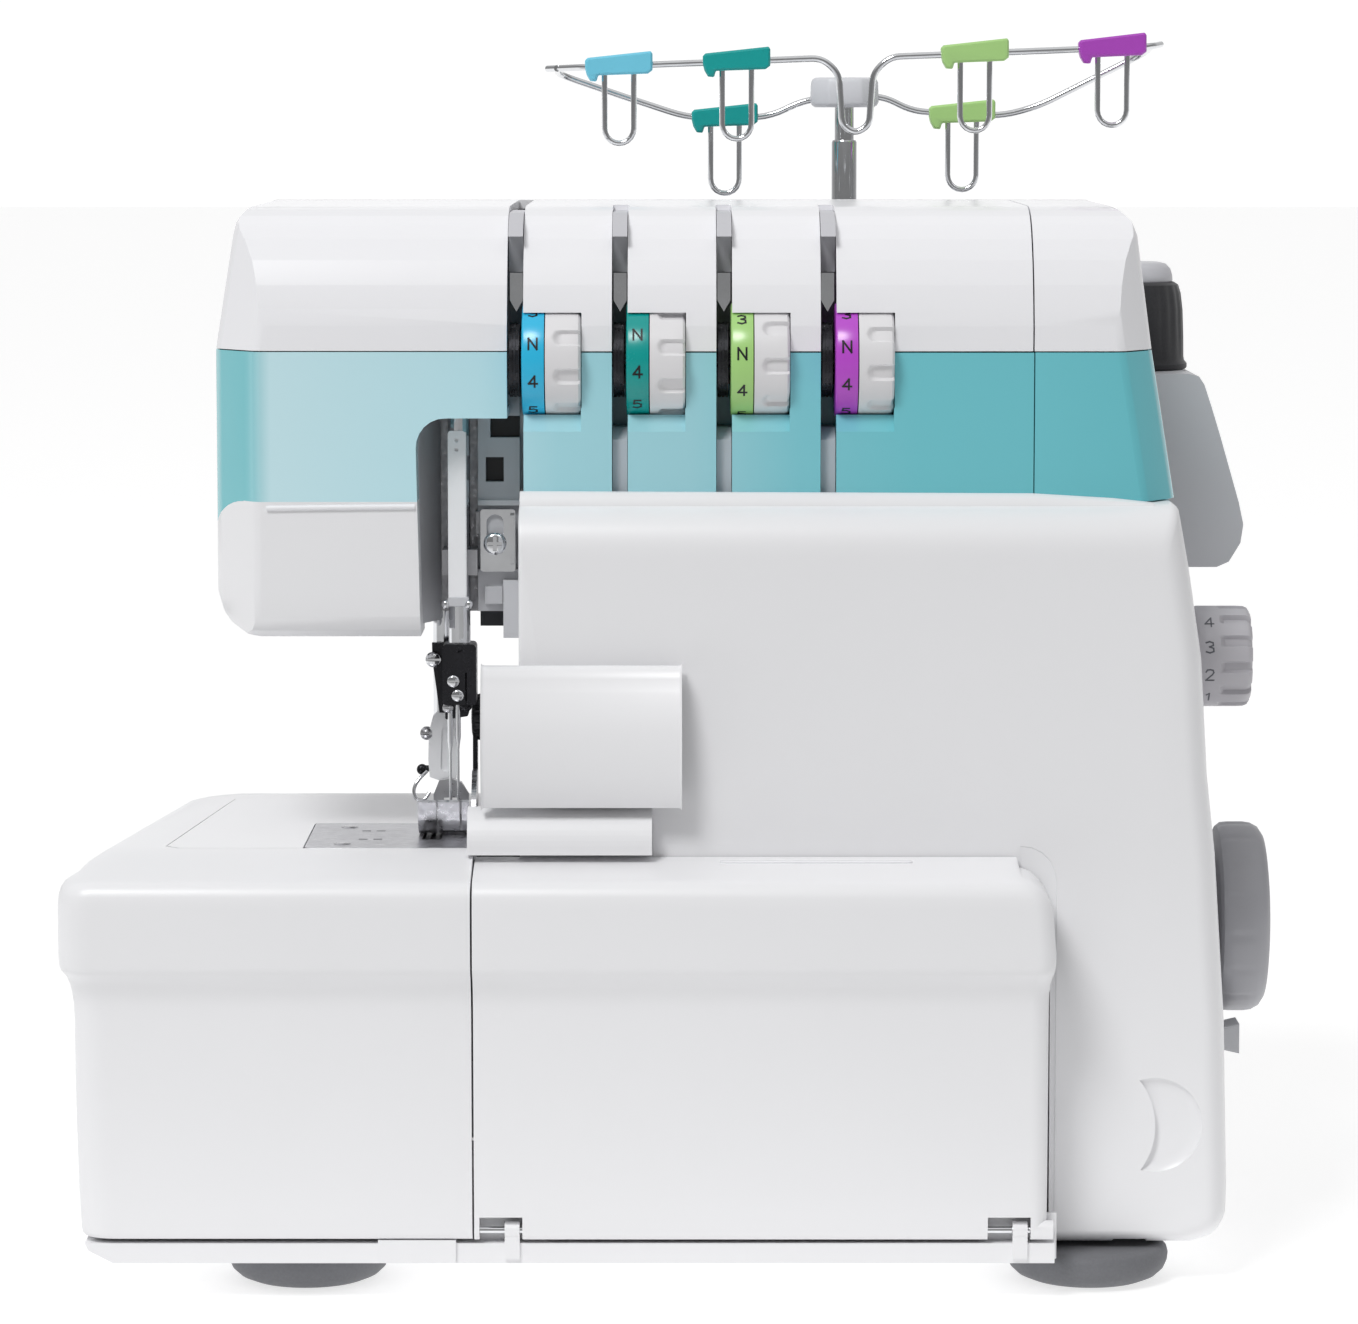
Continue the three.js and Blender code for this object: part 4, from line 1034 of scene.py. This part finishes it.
def needle_frame():
    """Painted frame inside the threading opening, with its windows, bracket and guide plate."""
    panel = slab("frame_panel", "y", [(-55.4, 194.4), (-43.9, 194.4), (-43.9, 242), (-55.4, 242)], 61.6, 65.8)
    carve(panel, box("hole", -53.3, -48.3, 55, 64.8, 218.2, 225.0), box("top_hole", -52, -40, 55, 64.8, 230.4, 236.4))
    finish_piece(panel, "machine", FRAME_GREY, (), 0.3)
    # Black plates just behind the two holes: painted shadow for the depth behind them.
    for name, (x0, x1, z0, z1) in {"hole_shadow": (-53.6, -48.0, 218, 225.2), "top_hole_shadow": (-52.2, -43.9, 230.2, 236.6)}.items():
        back = slab(name, "y", [(x0, z0), (x1, z0), (x1, z1), (x0, z1)], 64.7, 65.2)
        finish_piece(back, "machine", BLACK, (), 0)
    lip = slab("frame_lip", "x", [(59.4, 211.8), (61.7, 211.8), (61.7, 213.2), (59.8, 213.2)], -55.4, -43.9)
    finish_piece(lip, "machine", FRAME_GREY, (), 0.3)
    plate = slab("guide_plate", "y", [(-54.6, 193.8), (-45.0, 193.8), (-45.0, 211.0), (-54.6, 211.0)], 56.2, 57.2, [0.8] * 4)
    slot = slab("slot", "y", [(-52.9, 199), (-48.2, 199), (-48.2, 209.6), (-52.9, 209.6)], 50, 60, [2.3] * 4, 6)
    carve(plate, slot)
    flange = slab("flange", "x", [(52.8, 196.4), (57.2, 195.6), (57.2, 210.2), (52.8, 209.6)], -46.3, -45.2)
    carve(plate, flange, op="UNION")
    finish_piece(plate, "machine", CHROME, ["needle_thread_guide"], 0.18)
    back = slab("guide_back", "y", [(-54.0, 195), (-46.5, 195), (-46.5, 210.6), (-54.0, 210.6)], 57.2, 61.6)
    finish_piece(back, "machine", GREY, (), 0.2)
    head_screw("guide_screw", "y", (-50.6, 201.6), 56.2, 3.2, -1)
    steps = [(-55.4, 182.6), (-47.8, 182.6), (-47.8, 176), (-43.9, 176), (-43.9, 194.2), (-55.4, 194.2)]
    bracket = slab("frame_bracket", "y", steps, 59.4, 65.8)
    finish_piece(bracket, "machine", FRAME_GREY, (), 0.4)
    pillar = slab("frame_pillar", "y", [(-48.4, 175.4), (-43.8, 175.4), (-43.8, 191.4), (-48.4, 191.4)], 56.8, 60)
    finish_piece(pillar, "machine", FRAME_GREY, (), 0.4)
    step = slab("frame_step", "y", [(-53.4, 184.8), (-48.6, 184.8), (-48.6, 189.6), (-53.4, 189.6)], 57.4, 60)
    finish_piece(step, "machine", GREY, (), 0.4)
    # Dark slab at the back of the recess: painted shadow.
    shadow = slab("frame_recess_shadow", "y", [(-55.0, 178.0), (-48.2, 178.0), (-48.2, 182.6), (-55.0, 182.6)], 64.4, 65.4)
    finish_piece(shadow, "machine", SHADOW, (), 0)
    # Curved inner wall left of the rail.
    wall = [(-71.6, 49), (-70.2, 56), (-67.6, 62), (-65.9, 64.6), (-65.9, 66.0), (-72.4, 66.0), (-73.0, 49)]
    inner_wall = slab("opening_wall", "z", wall, 179.6, 236.4)
    finish_piece(inner_wall, "machine", FRAME_GREY, (), 0.3)


def rail():
    plate = slab("rail_plate", "y", [(-63.2, 187), (-58.4, 187), (-58.4, 233), (-63.2, 233)], 50, 51.0, [0.6, 0.6, 0.9, 0.9])
    side = slab("side", "x", [(50.2, 187.4), (53.8, 188.4), (53.8, 231.8), (50.2, 232.6)], -58.9, -58.2)
    carve(plate, side, op="UNION")
    for z in (230.4, 227.8):
        carve(plate, spin("dimple", [(0, 49), (0.55, 49), (0.55, 50.7), (0, 50.9)], (-60.8, z), "y", 20))
    finish_piece(plate, "machine", GLINT_WHITE, ["thread_rail"], 0.12)
    clip = slab("rail_clip", "y", [(-63.4, 184.8), (-57.6, 184.8), (-57.6, 187.4), (-63.4, 187.4)], 49.4, 52.6, [0.6] * 4)
    finish_piece(clip, "machine", FRAME_GREY, (), 0.3)
    for k, x in enumerate((-64.0, -57.6)):
        ball = spin(f"rail_ball_{k}", [(1.1 * math.sin(a), 185.4 - 1.3 * math.cos(a)) for a in [j * 0.3142 for j in range(11)]], (x, 49.8), "z", 24)
        finish_piece(ball, "machine", CHROME, (), 0)
    post = slab("rail_post", "x", [(52, 186), (65.9, 190), (65.9, 229), (53.6, 229)], -59.9, -59.0)
    finish_piece(post, "machine", STEEL, (), 0.15)


def needle_group():
    """Clamp, set screws and needles; all of it rides on the needle bar."""
    clamp = slab("clamp_block", "y", [(-65.2, 157), (-55.9, 157), (-55.9, 173.8), (-65.2, 173.8)], 55.0, 65, [0.8, 0.8, 1.2, 1.2])
    carve(clamp, slab("split", "y", [(-58.9, 150), (-58.5, 150), (-58.5, 166), (-58.9, 166)], 50, 60))
    carve(clamp, slab("nick", "y", [(-60.9, 171.4), (-59.6, 171.9), (-59.8, 172.5), (-61, 172)], 50, 55.6))
    finish_piece(clamp, "needles", DARK, ["needle_clamp"], 0.3)
    head_screw("clamp_screw_1", "y", (-62.2, 163.6), 55.0, 1.75, -1, "needles", CHROME, True, 0.9)
    head_screw("clamp_screw_2", "y", (-61.0, 159.6), 55.0, 1.75, -1, "needles", CHROME, True, 0.9)
    head_screw("needle_screw_1", "y", (-63.8, 156.0), 57.4, 1.5, -1, "needles", STEEL, True, 1.0)
    head_screw("needle_screw_2", "y", (-58.8, 156.6), 57.4, 1.7, -1, "needles", DARK, False, 1.2)
    holder = slab("needle_holder", "y", [(-64.6, 152.6), (-58.2, 153.6), (-58.2, 157.4), (-64.6, 157.4)], 57.2, 64, [0.5] * 4)
    carve(holder, box("bore_a", -63.65, -62.75, 57.15, 58.05, 150, 158), box("bore_b", -61.55, -60.65, 57.15, 58.05, 150, 158))
    finish_piece(holder, "needles", DARK, (), 0.2)
    for k, (x, z0) in enumerate(((-63.2, 124), (-61.1, 125.2))):
        profile = [(0, z0), (0.16, z0 + 0.9), (0.34, z0 + 2.8), (0.4, z0 + 4), (0.4, z0 + 19), (0.5, z0 + 20.5)]
        profile += [(0.8, z0 + 22.5), (0.8, 163), (0, 163)]
        needle = spin(f"needle_{k}", profile, (x, 57.6), "z", 20)
        carve(needle, box("eye", x - 0.13, x + 0.13, 57, 58.2, z0 + 2.6, z0 + 3.7))
        finish_piece(needle, "needles", CHROME, ["needle_left" if k == 0 else "needle_right"], 0)


def presser_group():
    """Presser bar, its dark arm and the bright cast shank, whose shine is a painted reflection in near-white colour,
    with screws and a hooked spring wire.
    """
    bar = spin("presser_rod", [(0, 150), (3, 150), (3, 275.4), (2.4, 276), (0, 276)], (-65.5, 71), "z", 40)
    finish_piece(bar, "presser", CHROME, ["presser_bar"], 0)
    arm = [(-66.6, 153.5), (-64.4, 153.5), (-64.0, 160), (-63.9, 173), (-68.6, 173), (-68.5, 168), (-67.4, 160)]
    blade = slab("presser_arm", "y", arm[::-1], 66.4, 68.4)
    finish_piece(blade, "presser", DARK, (), 0.3)
    head_screw("arm_screw", "y", (-68.2, 168.4), 66.4, 2.2, -1, "presser", CHROME, True, 1.8)
    left = [(-69.4, 135.4), (-69.8, 140), (-69.6, 148), (-68.4, 152.6), (-66.2, 154.6), (-63.4, 154.6), (-62.0, 152)]
    outline = left + [(-61.6, 146), (-61.8, 138), (-62.2, 134.4), (-66.0, 134.2)]
    shank = slab("presser_shank", "y", outline[::-1], 66.6, 75.2)
    carve(shank, slab("relief", "y", [(-66.4, 137), (-63.2, 137), (-63.4, 149.5), (-66.0, 149.5)], 60, 67.2, [1.2] * 4))
    finish_piece(shank, "presser", GLINT_WHITE, (), 0.9, 4, 30)
    head_screw("shank_screw", "y", (-70.2, 147.6), 68.2, 1.9, -1, "presser", STEEL, True, 2.4)
    head_screw("ankle_screw", "y", (-71.6, 137.4), 68.4, 1.5, -1, "presser", DARK, False, 1.8)
    stem = spin("shank_stem", [(0, -71.2), (1.0, -71.2), (1.0, -66), (0, -66)], (69.6, 147.6), "x", 16)
    finish_piece(stem, "presser", STEEL, (), 0)
    stem = spin("ankle_stem", [(0, -72.6), (0.9, -72.6), (0.9, -66), (0, -66)], (70.0, 137.4), "x", 16)
    finish_piece(stem, "presser", DARK, (), 0)
    hook = [(-70.2, 66.8, 137), (-72.6, 65.4, 135), (-74.0, 64.4, 132.0), (-73.2, 63.8, 129.4), (-70.6, 64, 129.0), (-69.4, 65, 131.4)]
    wire = tube("foot_spring", hook, 0.5, 12)
    finish_piece(wire, "presser", CHROME, (), 0)


def presser_foot():
    """Grey two-toed foot: sole with upturned toe, needle slot, finger, and ankle with a hole for its pivot."""
    side = [(72, 121.25), (79, 122.9), (79, 124.2), (76, 124.8), (58, 124.8), (54.6, 125.6), (51.4, 127.8), (49.2, 131.4), (48.5, 130.8)]
    side += [(50.2, 125.6), (53, 122.4), (56, 121.25)]
    sole = slab("foot_sole", "x", side, -71.9, -57.8)
    carve(sole, slab("needle_slot", "z", [(-64.6, 55), (-59.6, 55), (-59.6, 61), (-64.6, 61)], 118, 135, [0.8] * 4))
    carve(sole, box("slit_a", -66.9, -66.3, 40, 56, 118, 135), box("slit_b", -60.4, -59.8, 40, 53, 118, 135))
    finish_piece(sole, "foot", FOOT_GREY, ["presser_foot"], 0.35, 3, 30)
    web = [(-68.0, 124), (-58.6, 124), (-58.4, 131.0), (-60.4, 134.4), (-63.4, 135.6), (-66.6, 135.0), (-68.2, 131)]
    front = slab("foot_web", "y", web, 62.4, 65.4)
    carve(front, slab("hole", "y", [(-65.4, 127), (-61.2, 127), (-61.2, 130.2), (-65.4, 130.2)], 55, 70, [0.3] * 4))
    finish_piece(front, "foot", FOOT_GREY, (), 0.5, 3, 30)
    plate = slab("foot_guide", "x", [(50.5, 125), (58, 124.8), (66, 128), (66, 137.8), (61, 137.8), (54, 131)], -57.4, -56.0)
    finish_piece(plate, "foot", STEEL, (), 0.3)


def knife():
    profile = [(0, -57.8), (4.6, -57.8), (5.3, -57.6), (6.0, -57.0), (6.4, -56.2), (6.6, -55.4), (6.6, -54.4), (6.2, -53.7)]
    profile += [(5.4, -53.4), (2.4, -53.4), (2.4, -36), (0, -36)]

    def knurl(a, q, s):
        return q - (0.28 if q > 5.9 and (a * 18 / math.pi) % 2 < 1 else 0)

    knob = spin("release_knob", profile, (73.5, 151.5), "x", 144, knurl)
    finish_piece(knob, "knife", BLACK, ["knife_knob"], 0)
    arm = slab("knife_arm", "x", [(68.6, 123), (73.4, 123), (75.4, 149), (70.4, 149)], -57.5, -56.2)
    finish_piece(arm, "knife", DARK, (), 0.2)
    face = spin("knob_face", [(0, -58.0), (1.9, -58.0), (2.3, -57.7), (2.3, -57.5), (0, -57.5)], (73.5, 151.5), "x", 24)
    finish_piece(face, "knife", STEEL, (), 0)


def needle_plate():
    """Bright plate with needle slot, feed slots and the edge marks seam guides are read from."""
    plan = [(-101.9, 30), (-56.2, 30), (-56.2, 77.9), (-101.9, 77.9)]
    plate = slab("throat_plate", "z", plan, 118.2, 120.86, [2.2, 0.6, 0.6, 2.2])
    carve(plate, slab("feed_slot", "z", [(-70.6, 46), (-65.4, 46), (-65.4, 76), (-70.6, 76)], 110, 125, [0.8] * 4))
    carve(plate, slab("needle_slot", "z", [(-64.8, 54), (-59.4, 54), (-59.4, 61), (-64.8, 61)], 110, 125, [0.8] * 4))
    finish_piece(plate, "machine", PLATE, ["needle_plate"], 0.2, 2, 35)
    blade = slab("fixed_blade", "x", [(44, 112), (60, 112), (60, 120.9), (46, 120.9)], -57.8, -56.0)
    finish_piece(blade, "machine", STEEL, (), 0.2)
    for k, (x, y) in enumerate(((-92, 38), (-92, 70))):
        profile = [(0, 120.84), (2.5, 120.84), (2.3, 121.0), (0, 121.05)]
        pad = spin(f"plate_screw_{k}", profile, (x, y), "z", 28)
        carve(pad, box("drive", x - 3, x + 3, y - 0.3, y + 0.3, 120.9, 122))
        finish_piece(pad, "machine", STEEL, (), 0)
    for k, (x, y) in enumerate(((-88, 46), (-84, 46), (-88, 62), (-84, 62))):
        mark = slab(f"plate_mark_{k}", "z", [(x, y), (x + 2.4, y), (x + 2.4, y + 0.9), (x, y + 0.9)], 120.84, 120.92)
        finish_piece(mark, "machine", INK, (), 0)


# ---- Right side --------------------------------------------------------------------------------


def handwheel():
    profile = [
        (5.2, 152.2),
        (17, 152.2),
        (18.5, 153.0),
        (23.6, 153.0),
        (25.8, 153.4),
        (26.8, 154.6),
        (27.0, 156.6),
        (27.0, 160.8),
        (26.7, 163.0),
        (25.6, 165.0),
        (23.6, 166.3),
        (20.8, 166.7),
        (16, 166.2),
        (12, 165.4),
        (8, 165.0),
        (0, 164.8),
        (0, 152.2),
    ]

    def grip(a, q, s):
        u = (a / (2 * math.pi) * 16) % 1.0
        return q - (0.35 * math.sin(math.pi * u / 0.3) if q > 26.6 and u < 0.3 and s < 162 else 0)

    wheel = spin("hand_wheel", profile, (100, 91), "x", 192, grip)
    finish_piece(wheel, "wheel", WHEEL_GREY, ["handwheel"], 0)
    arrow = slab("wheel_mark", "x", [(99.4, 109), (100.6, 109), (100.6, 113), (99.4, 113)], 166.3, 166.6)
    finish_piece(arrow, "wheel", PALE_GREY, (), 0)


def stitch_dial():
    r = 14.2

    def grip(a, q, s):
        u = (a / (2 * math.pi) * 12) % 1.0
        if s < 151.6 or q < 12.4 or u > 0.46:
            return q
        depth = min(1, (s - 151.6) / 1.2) * min(1, u / 0.08, (0.46 - u) / 0.08)
        return q - 1.3 * depth

    profile = [(3.4, 139.5), (3.4, 144.8), (12.8, 144.8), (13.8, 145.2), (r, 145.8), (r, 150.4), (r, 151.5), (r, 152.1)]
    profile += [(r, 152.9), (r, 154), (r, 157), (r - 0.1, 159), (r - 0.5, 160), (r - 1.6, 160.7), (0, 160.8), (0, 139.5)]
    knob = spin("length_dial", profile, (90, 166.8), "x", 288, grip)
    finish_piece(knob, "stitch_dial", STITCH_GREY, ["stitch_length_dial"], 0)
    for k, char in enumerate(("1", "2", "3", "4")):
        angle = math.radians(180 + 16 - (k - 1) * 32.0)

        def place(u, v, lift, angle=angle):
            a = angle - v / r
            q = r - 0.03 + lift
            return (148.6 + u, 90 + q * math.cos(a), 166.8 + q * math.sin(a))

        finish_piece(glyph(f"length_mark_{k}", char, place, 3.2, 0.13), "stitch_dial", INK, (), 0)


def side_controls():
    """Feed lever tab, mains inlet with its two pins, and the rocker switch in its bezel."""
    outline = [(152.5, 57.2), (157.7, 55.9), (157.7, 64.1), (152.5, 62.8)]
    tab = slab("lever_grip", "y", outline, 74.5, 85.7, [0.4, 0.9, 0.9, 0.4])
    finish_piece(tab, "feed_control", GREY, (), 0.5, 3)
    socket = slab("inlet_body", "x", [(112.6, 27.6), (129.4, 27.6), (129.4, 42.4), (112.6, 42.4)], 142.4, 152.4, [1.6] * 4)
    carve(socket, slab("well", "x", [(114.6, 29.6), (127.4, 29.6), (127.4, 40.4), (114.6, 40.4)], 144.4, 160, [1.2] * 4))
    finish_piece(socket, "machine", BLACK, ["power_inlet"], 0.4, 2)
    for k, y in enumerate((118.0, 124.0)):
        pin = spin(f"inlet_pin_{k}", [(0, 143), (1.2, 143), (1.2, 150.6), (0.7, 151.4), (0, 151.4)], (y, 35), "x", 20)
        finish_piece(pin, "machine", STEEL, (), 0)
    outline = [(144.5, 26), (146.5, 25.6), (151.9, 27), (150.3, 35), (151.9, 43), (146.5, 44.4), (144.5, 44)]
    rocker = slab("rocker_cap", "y", outline, 134.6, 143.4)
    finish_piece(rocker, "rocker", BLACK, ["power_rocker"], 0.5, 3)
    bezel = slab("rocker_bezel", "x", [(133.0, 23.6), (145.0, 23.6), (145.0, 46.4), (133.0, 46.4)], 149.9, 151.3, [1.4] * 4)
    carve(bezel, box("way", 140, 158, 133.9, 144.1, 24.6, 45.4))
    finish_piece(bezel, "machine", BLACK, (), 0.3)


# ---- Spool stand and thread guide -----------------------------------------------------------------

CONES = (-35.9, 21.1, 78.1, 135.1)


def spool_stand():
    half = [(110.2, 184.8), (113.8, 186.4), (117.2, 192), (118.0, 197.5), (116.6, 204), (110.8, 224), (108.0, 233), (106.0, 239), (104.4, 241.4), (101.4, 242.2)]
    outline = [(POLE_X + x, z) for x, z in half] + [(POLE_X - x, z) for x, z in half[::-1]]
    shell = slab("spool_tray", "y", outline[::-1], 168.4, 238)
    inner = slab("inner", "y", inset(outline, [2.6] * len(outline)), 171, 235.4)
    carve(shell, inner)
    carve(shell, spin("way", [(0, 236), (5.6, 236), (5.6, 250), (0, 250)], (POLE_X, STAND_Y), "z", 32))
    finish_piece(shell, "machine", GREY, ["spool_stand"], 2.2, 5, 40)


def cones():
    for i, x in enumerate(CONES):
        foam = [(0, 242.4), (17.6, 242.4), (18.0, 242.9), (18, 244), (17.2, 245.0), (17.0, 246)]
        foam += [(16.9, 252), (16.6, 260), (16.0, 265), (15.2, 267.6), (14.0, 268.4), (0, 268.4)]

        def rib(a, q, s):
            return q - (0.25 if q > 15.5 and s > 246 and (a * 24 / math.pi) % 2 < 0.7 else 0)

        holder = spin(f"cone_body_{i + 1}", foam, (x, STAND_Y), "z", 144, rib)
        finish_piece(holder, "machine", CHARCOAL, (), 0)
        top = [(0, 268.4), (13.2, 268.4), (13.5, 268.9), (13.4, 270.4), (12.8, 272.4), (11.4, 273.9), (9.4, 274.4), (4, 274.4), (3.4, 273.4), (0, 273.4)]
        cap_piece = spin(f"cone_cap_{i + 1}", top, (x, STAND_Y), "z", 96)
        node = f"cone_holder_{i + 1}"
        finish_piece(cap_piece, "machine", PALE_GREY, [node] if node in NODES else (), 0)


def pole():
    base_tube = spin("pole_tube_low", [(4.0, 206.4), (5.2, 206.4), (5.2, 286.8), (6.0, 287.2), (6.0, 290.6), (5.6, 291.2), (4.0, 291.2)], (POLE_X, STAND_Y), "z", 48)
    finish_piece(base_tube, "machine", CHROME, ["pole_base"] if "pole_base" in NODES else (), 0)
    mid = spin("pole_tube_mid", [(3.0, 210), (3.8, 210), (3.8, 310.2), (3.5, 310.8), (3.0, 310.8)], (POLE_X, STAND_Y), "z", 48)
    finish_piece(mid, "pole_mid", CHROME, ["pole_mid"], 0)
    stem = spin("pole_stem", [(0, 214), (2.9, 214), (2.9, 321), (0, 321)], (POLE_X, STAND_Y), "z", 40)
    finish_piece(stem, "thread_guide", CHROME, (), 0)
    x, y = POLE_X, STAND_Y
    plan = [(x - 10.2, y - 4), (x - 5, y - 9), (x + 5, y - 9), (x + 10.2, y - 4), (x + 10.2, y + 4), (x + 5, y + 9), (x - 5, y + 9), (x - 10.2, y + 4)]
    levels = [(320.6, [1.4] * 8), (321.2, [0.5] * 8), (322.2, [0] * 8), (328.0, [0.2] * 8), (329.0, [0.7] * 8), (329.5, [1.6] * 8)]
    block = layered("guide_block", "z", plan, [1.5] * 8, levels, 3)
    finish_piece(block, "thread_guide", BLOCK_GREY, ["pole_top"], 0.3, 3)


FRONT_WIRE = [
    (-39, 183, 332),
    (-27, 168, 332.4),
    (42, 168, 335),
    (47, 168, 330.6),
    (48, 168, 315.5),
    (52, 168, 313),
    (56, 168, 315.5),
    (57, 168, 330.6),
    (62, 168, 335.4),
    (138.5, 168, 338.4),
    (142.6, 180, 339.2),
]
REAR_WIRE = [
    (-36, 178, 332.1),
    (-36, 196, 330.4),
    (-16, 198, 323.6),
    (3, 198, 317.4),
    (27, 198, 317.6),
    (38, 198, 323),
    (61, 198, 324),
    (70, 198, 319.4),
    (97, 198, 318),
    (108, 198, 321),
    (139.4, 196, 336.8),
    (139.4, 176, 338.6),
]


def bend(points, radius=3.0, steps=5):
    """A polyline with its corners rounded."""
    out = [points[0]]
    for a, p, b in zip(points, points[1:], points[2:]):
        a, p, b = Vector(a), Vector(p), Vector(b)
        u, v = a - p, b - p
        reach = min(radius, u.length * 0.45, v.length * 0.45)
        s, e = p + u.normalized() * reach, p + v.normalized() * reach
        for k in range(steps + 1):
            t = k / steps
            out.append(tuple((1 - t) ** 2 * s + 2 * t * (1 - t) * p + t * t * e))
    return out + [points[-1]]


def thread_guide():
    front = tube("guide_wire_front", bend(FRONT_WIRE, 5), 1.0, 16, False)
    finish_piece(front, "thread_guide", CHROME, ["wire_frame"], 0)
    rear = tube("guide_wire_rear", bend(REAR_WIRE, 6), 1.0, 16, False)
    finish_piece(rear, "thread_guide", CHROME, (), 0)


CLIPS = [
    (-17.6, 168, 332.7, 0, 0.021),
    (17, 168, 334, 1, 0.021),
    (87, 168, 336.4, 2, 0.024),
    (127.4, 168, 338, 3, 0.03),
    (13.8, 198, 317.5, 1, 0.02),
    (85, 198, 318.6, 2, 0.02),
]


def clips():
    """Coloured wedge clips on the wires, each holding a bright U loop."""
    for i, (x, y, z, colour, tilt) in enumerate(CLIPS):
        shape = [(-9.6, -2.4), (-8.6, -4.2), (-6.8, -4.4), (-6.2, -2.6), (8.4, -2.4), (9.8, -1.4), (9.9, 3.4), (9.4, 4.2)]
        shape += [(-9.2, 2.6), (-10.0, 1.8), (-10.0, -0.6)]
        turn = [(u * math.cos(tilt) - v * math.sin(tilt) + x, u * math.sin(tilt) + v * math.cos(tilt) + z) for u, v in shape]
        levels = [(y - 3, [0.6] * len(turn)), (y - 2.6, [0.15] * len(turn)), (y - 2.2, [0] * len(turn))]
        levels += [(y + 2.2, [0] * len(turn)), (y + 2.6, [0.15] * len(turn)), (y + 3, [0.6] * len(turn))]
        wedge = layered(f"clip_{i + 1}", "y", turn, [0.4] * len(turn), levels, 2)
        finish_piece(wedge, "thread_guide", CLIP_COLOURS[colour], [f"thread_clip_{i + 1}"], 0.3, 3, 40)
        w = 4.3
        low = z - 22.6
        loop = [(x - w, y, z - 0.5), (x - w, y, low + w)]
        loop += [(x - w * math.cos(a), y, low + w - w * math.sin(a)) for a in [k * math.pi / 10 for k in range(1, 10)]]
        loop += [(x + w, y, low + w), (x + w, y, z - 0.5)]
        ring = tube(f"clip_loop_{i + 1}", loop, 0.85, 16, False)
        finish_piece(ring, "thread_guide", CHROME, (), 0)


# ---- Stage ------------------------------------------------------------------------------------


def stage():
    scene = bpy.context.scene
    data = bpy.data.cameras.new("camera")
    camera = bpy.data.objects.new("camera", data)
    scene.collection.objects.link(camera)
    data.lens = 135.2
    data.sensor_width = 36
    data.clip_start, data.clip_end = 0.05, 30
    camera.location = P(0, -1341.5, 323.1)
    camera.rotation_euler = (math.radians(90 - 6.3), 0, 0)
    scene.camera = camera

    world = bpy.data.worlds.new("studio")
    scene.world = world
    world.use_nodes = True
    nodes, links = world.node_tree.nodes, world.node_tree.links
    coord = nodes.new("ShaderNodeTexCoord")
    parts = nodes.new("ShaderNodeSeparateXYZ")
    links.new(coord.outputs["Generated"], parts.inputs["Vector"])
    ahead = ramp(nodes, links, parts.outputs["Y"], [(0.0, grey(0.2)), (0.6, grey(0.34)), (0.9, grey(0.6)), (0.96, grey(1.0))])
    above = ramp(nodes, links, parts.outputs["Z"], [(0.05, grey(0.0)), (0.45, grey(0.25)), (0.85, grey(0.7))])
    lighter = nodes.new("ShaderNodeMixRGB")
    lighter.blend_type = "LIGHTEN"
    lighter.inputs["Fac"].default_value = 1
    links.new(ahead, lighter.inputs["Color1"])
    links.new(above, lighter.inputs["Color2"])
    links.new(lighter.outputs["Color"], nodes["Background"].inputs["Color"])
    nodes["Background"].inputs["Strength"].default_value = 1.05
    scene.view_settings.view_transform = "Standard"

    mesh = bpy.data.meshes.new("floor")
    s = 14
    mesh.from_pydata([(-s, -s, 0), (s, -s, 0), (s, s, 0), (-s, s, 0)], [], [(0, 1, 2, 3)])
    floor = new_object("floor", mesh)
    mat, nodes, links, shader = material("floor_paper")
    shader.inputs["Base Color"].default_value = (0.45, 0.45, 0.45, 1)
    shader.inputs["Roughness"].default_value = 0.9
    place = nodes.new("ShaderNodeTexCoord")
    split = nodes.new("ShaderNodeSeparateXYZ")
    links.new(place.outputs["Object"], split.inputs["Vector"])
    depth = nodes.new("ShaderNodeMapRange")
    depth.inputs["From Min"].default_value = -0.6
    depth.inputs["From Max"].default_value = -0.12
    links.new(split.outputs["Y"], depth.inputs["Value"])
    glow = ramp(nodes, links, depth.outputs["Result"], [(0.0, grey(0.0)), (1.0, grey(1.0))])
    links.new(glow, shader.inputs["Emission Color"])
    shader.inputs["Emission Strength"].default_value = 0.68
    floor.data.materials.append(mat)

    def area(name, loc, target, size, power):
        light = bpy.data.lights.new(name, "AREA")
        light.shape = "DISK"
        light.size = size
        light.energy = power
        obj = bpy.data.objects.new(name, light)
        scene.collection.objects.link(obj)
        obj.location = loc
        obj.rotation_euler = (Vector(target) - Vector(loc)).to_track_quat("-Z", "Y").to_euler()

    area("key", (-1.2, -2.2, 3.1), (0, 0, 0.15), 1.2, 70)


# ---- Assembly ---------------------------------------------------------------------------------

PARTS = (
    extension_table,
    arm_skin,
    looper_cover,
    base,
    feet,
    casing,
    guard,
    chute,
    head,
    top_cover,
    fascia,
    cap,
    rear_details,
    dials,
    slot_liners,
    needle_frame,
    rail,
    needle_group,
    presser_group,
    presser_foot,
    knife,
    needle_plate,
    handwheel,
    stitch_dial,
    side_controls,
    spool_stand,
    cones,
    pole,
    thread_guide,
    clips,
    stage,
)
for make in PARTS:
    make()
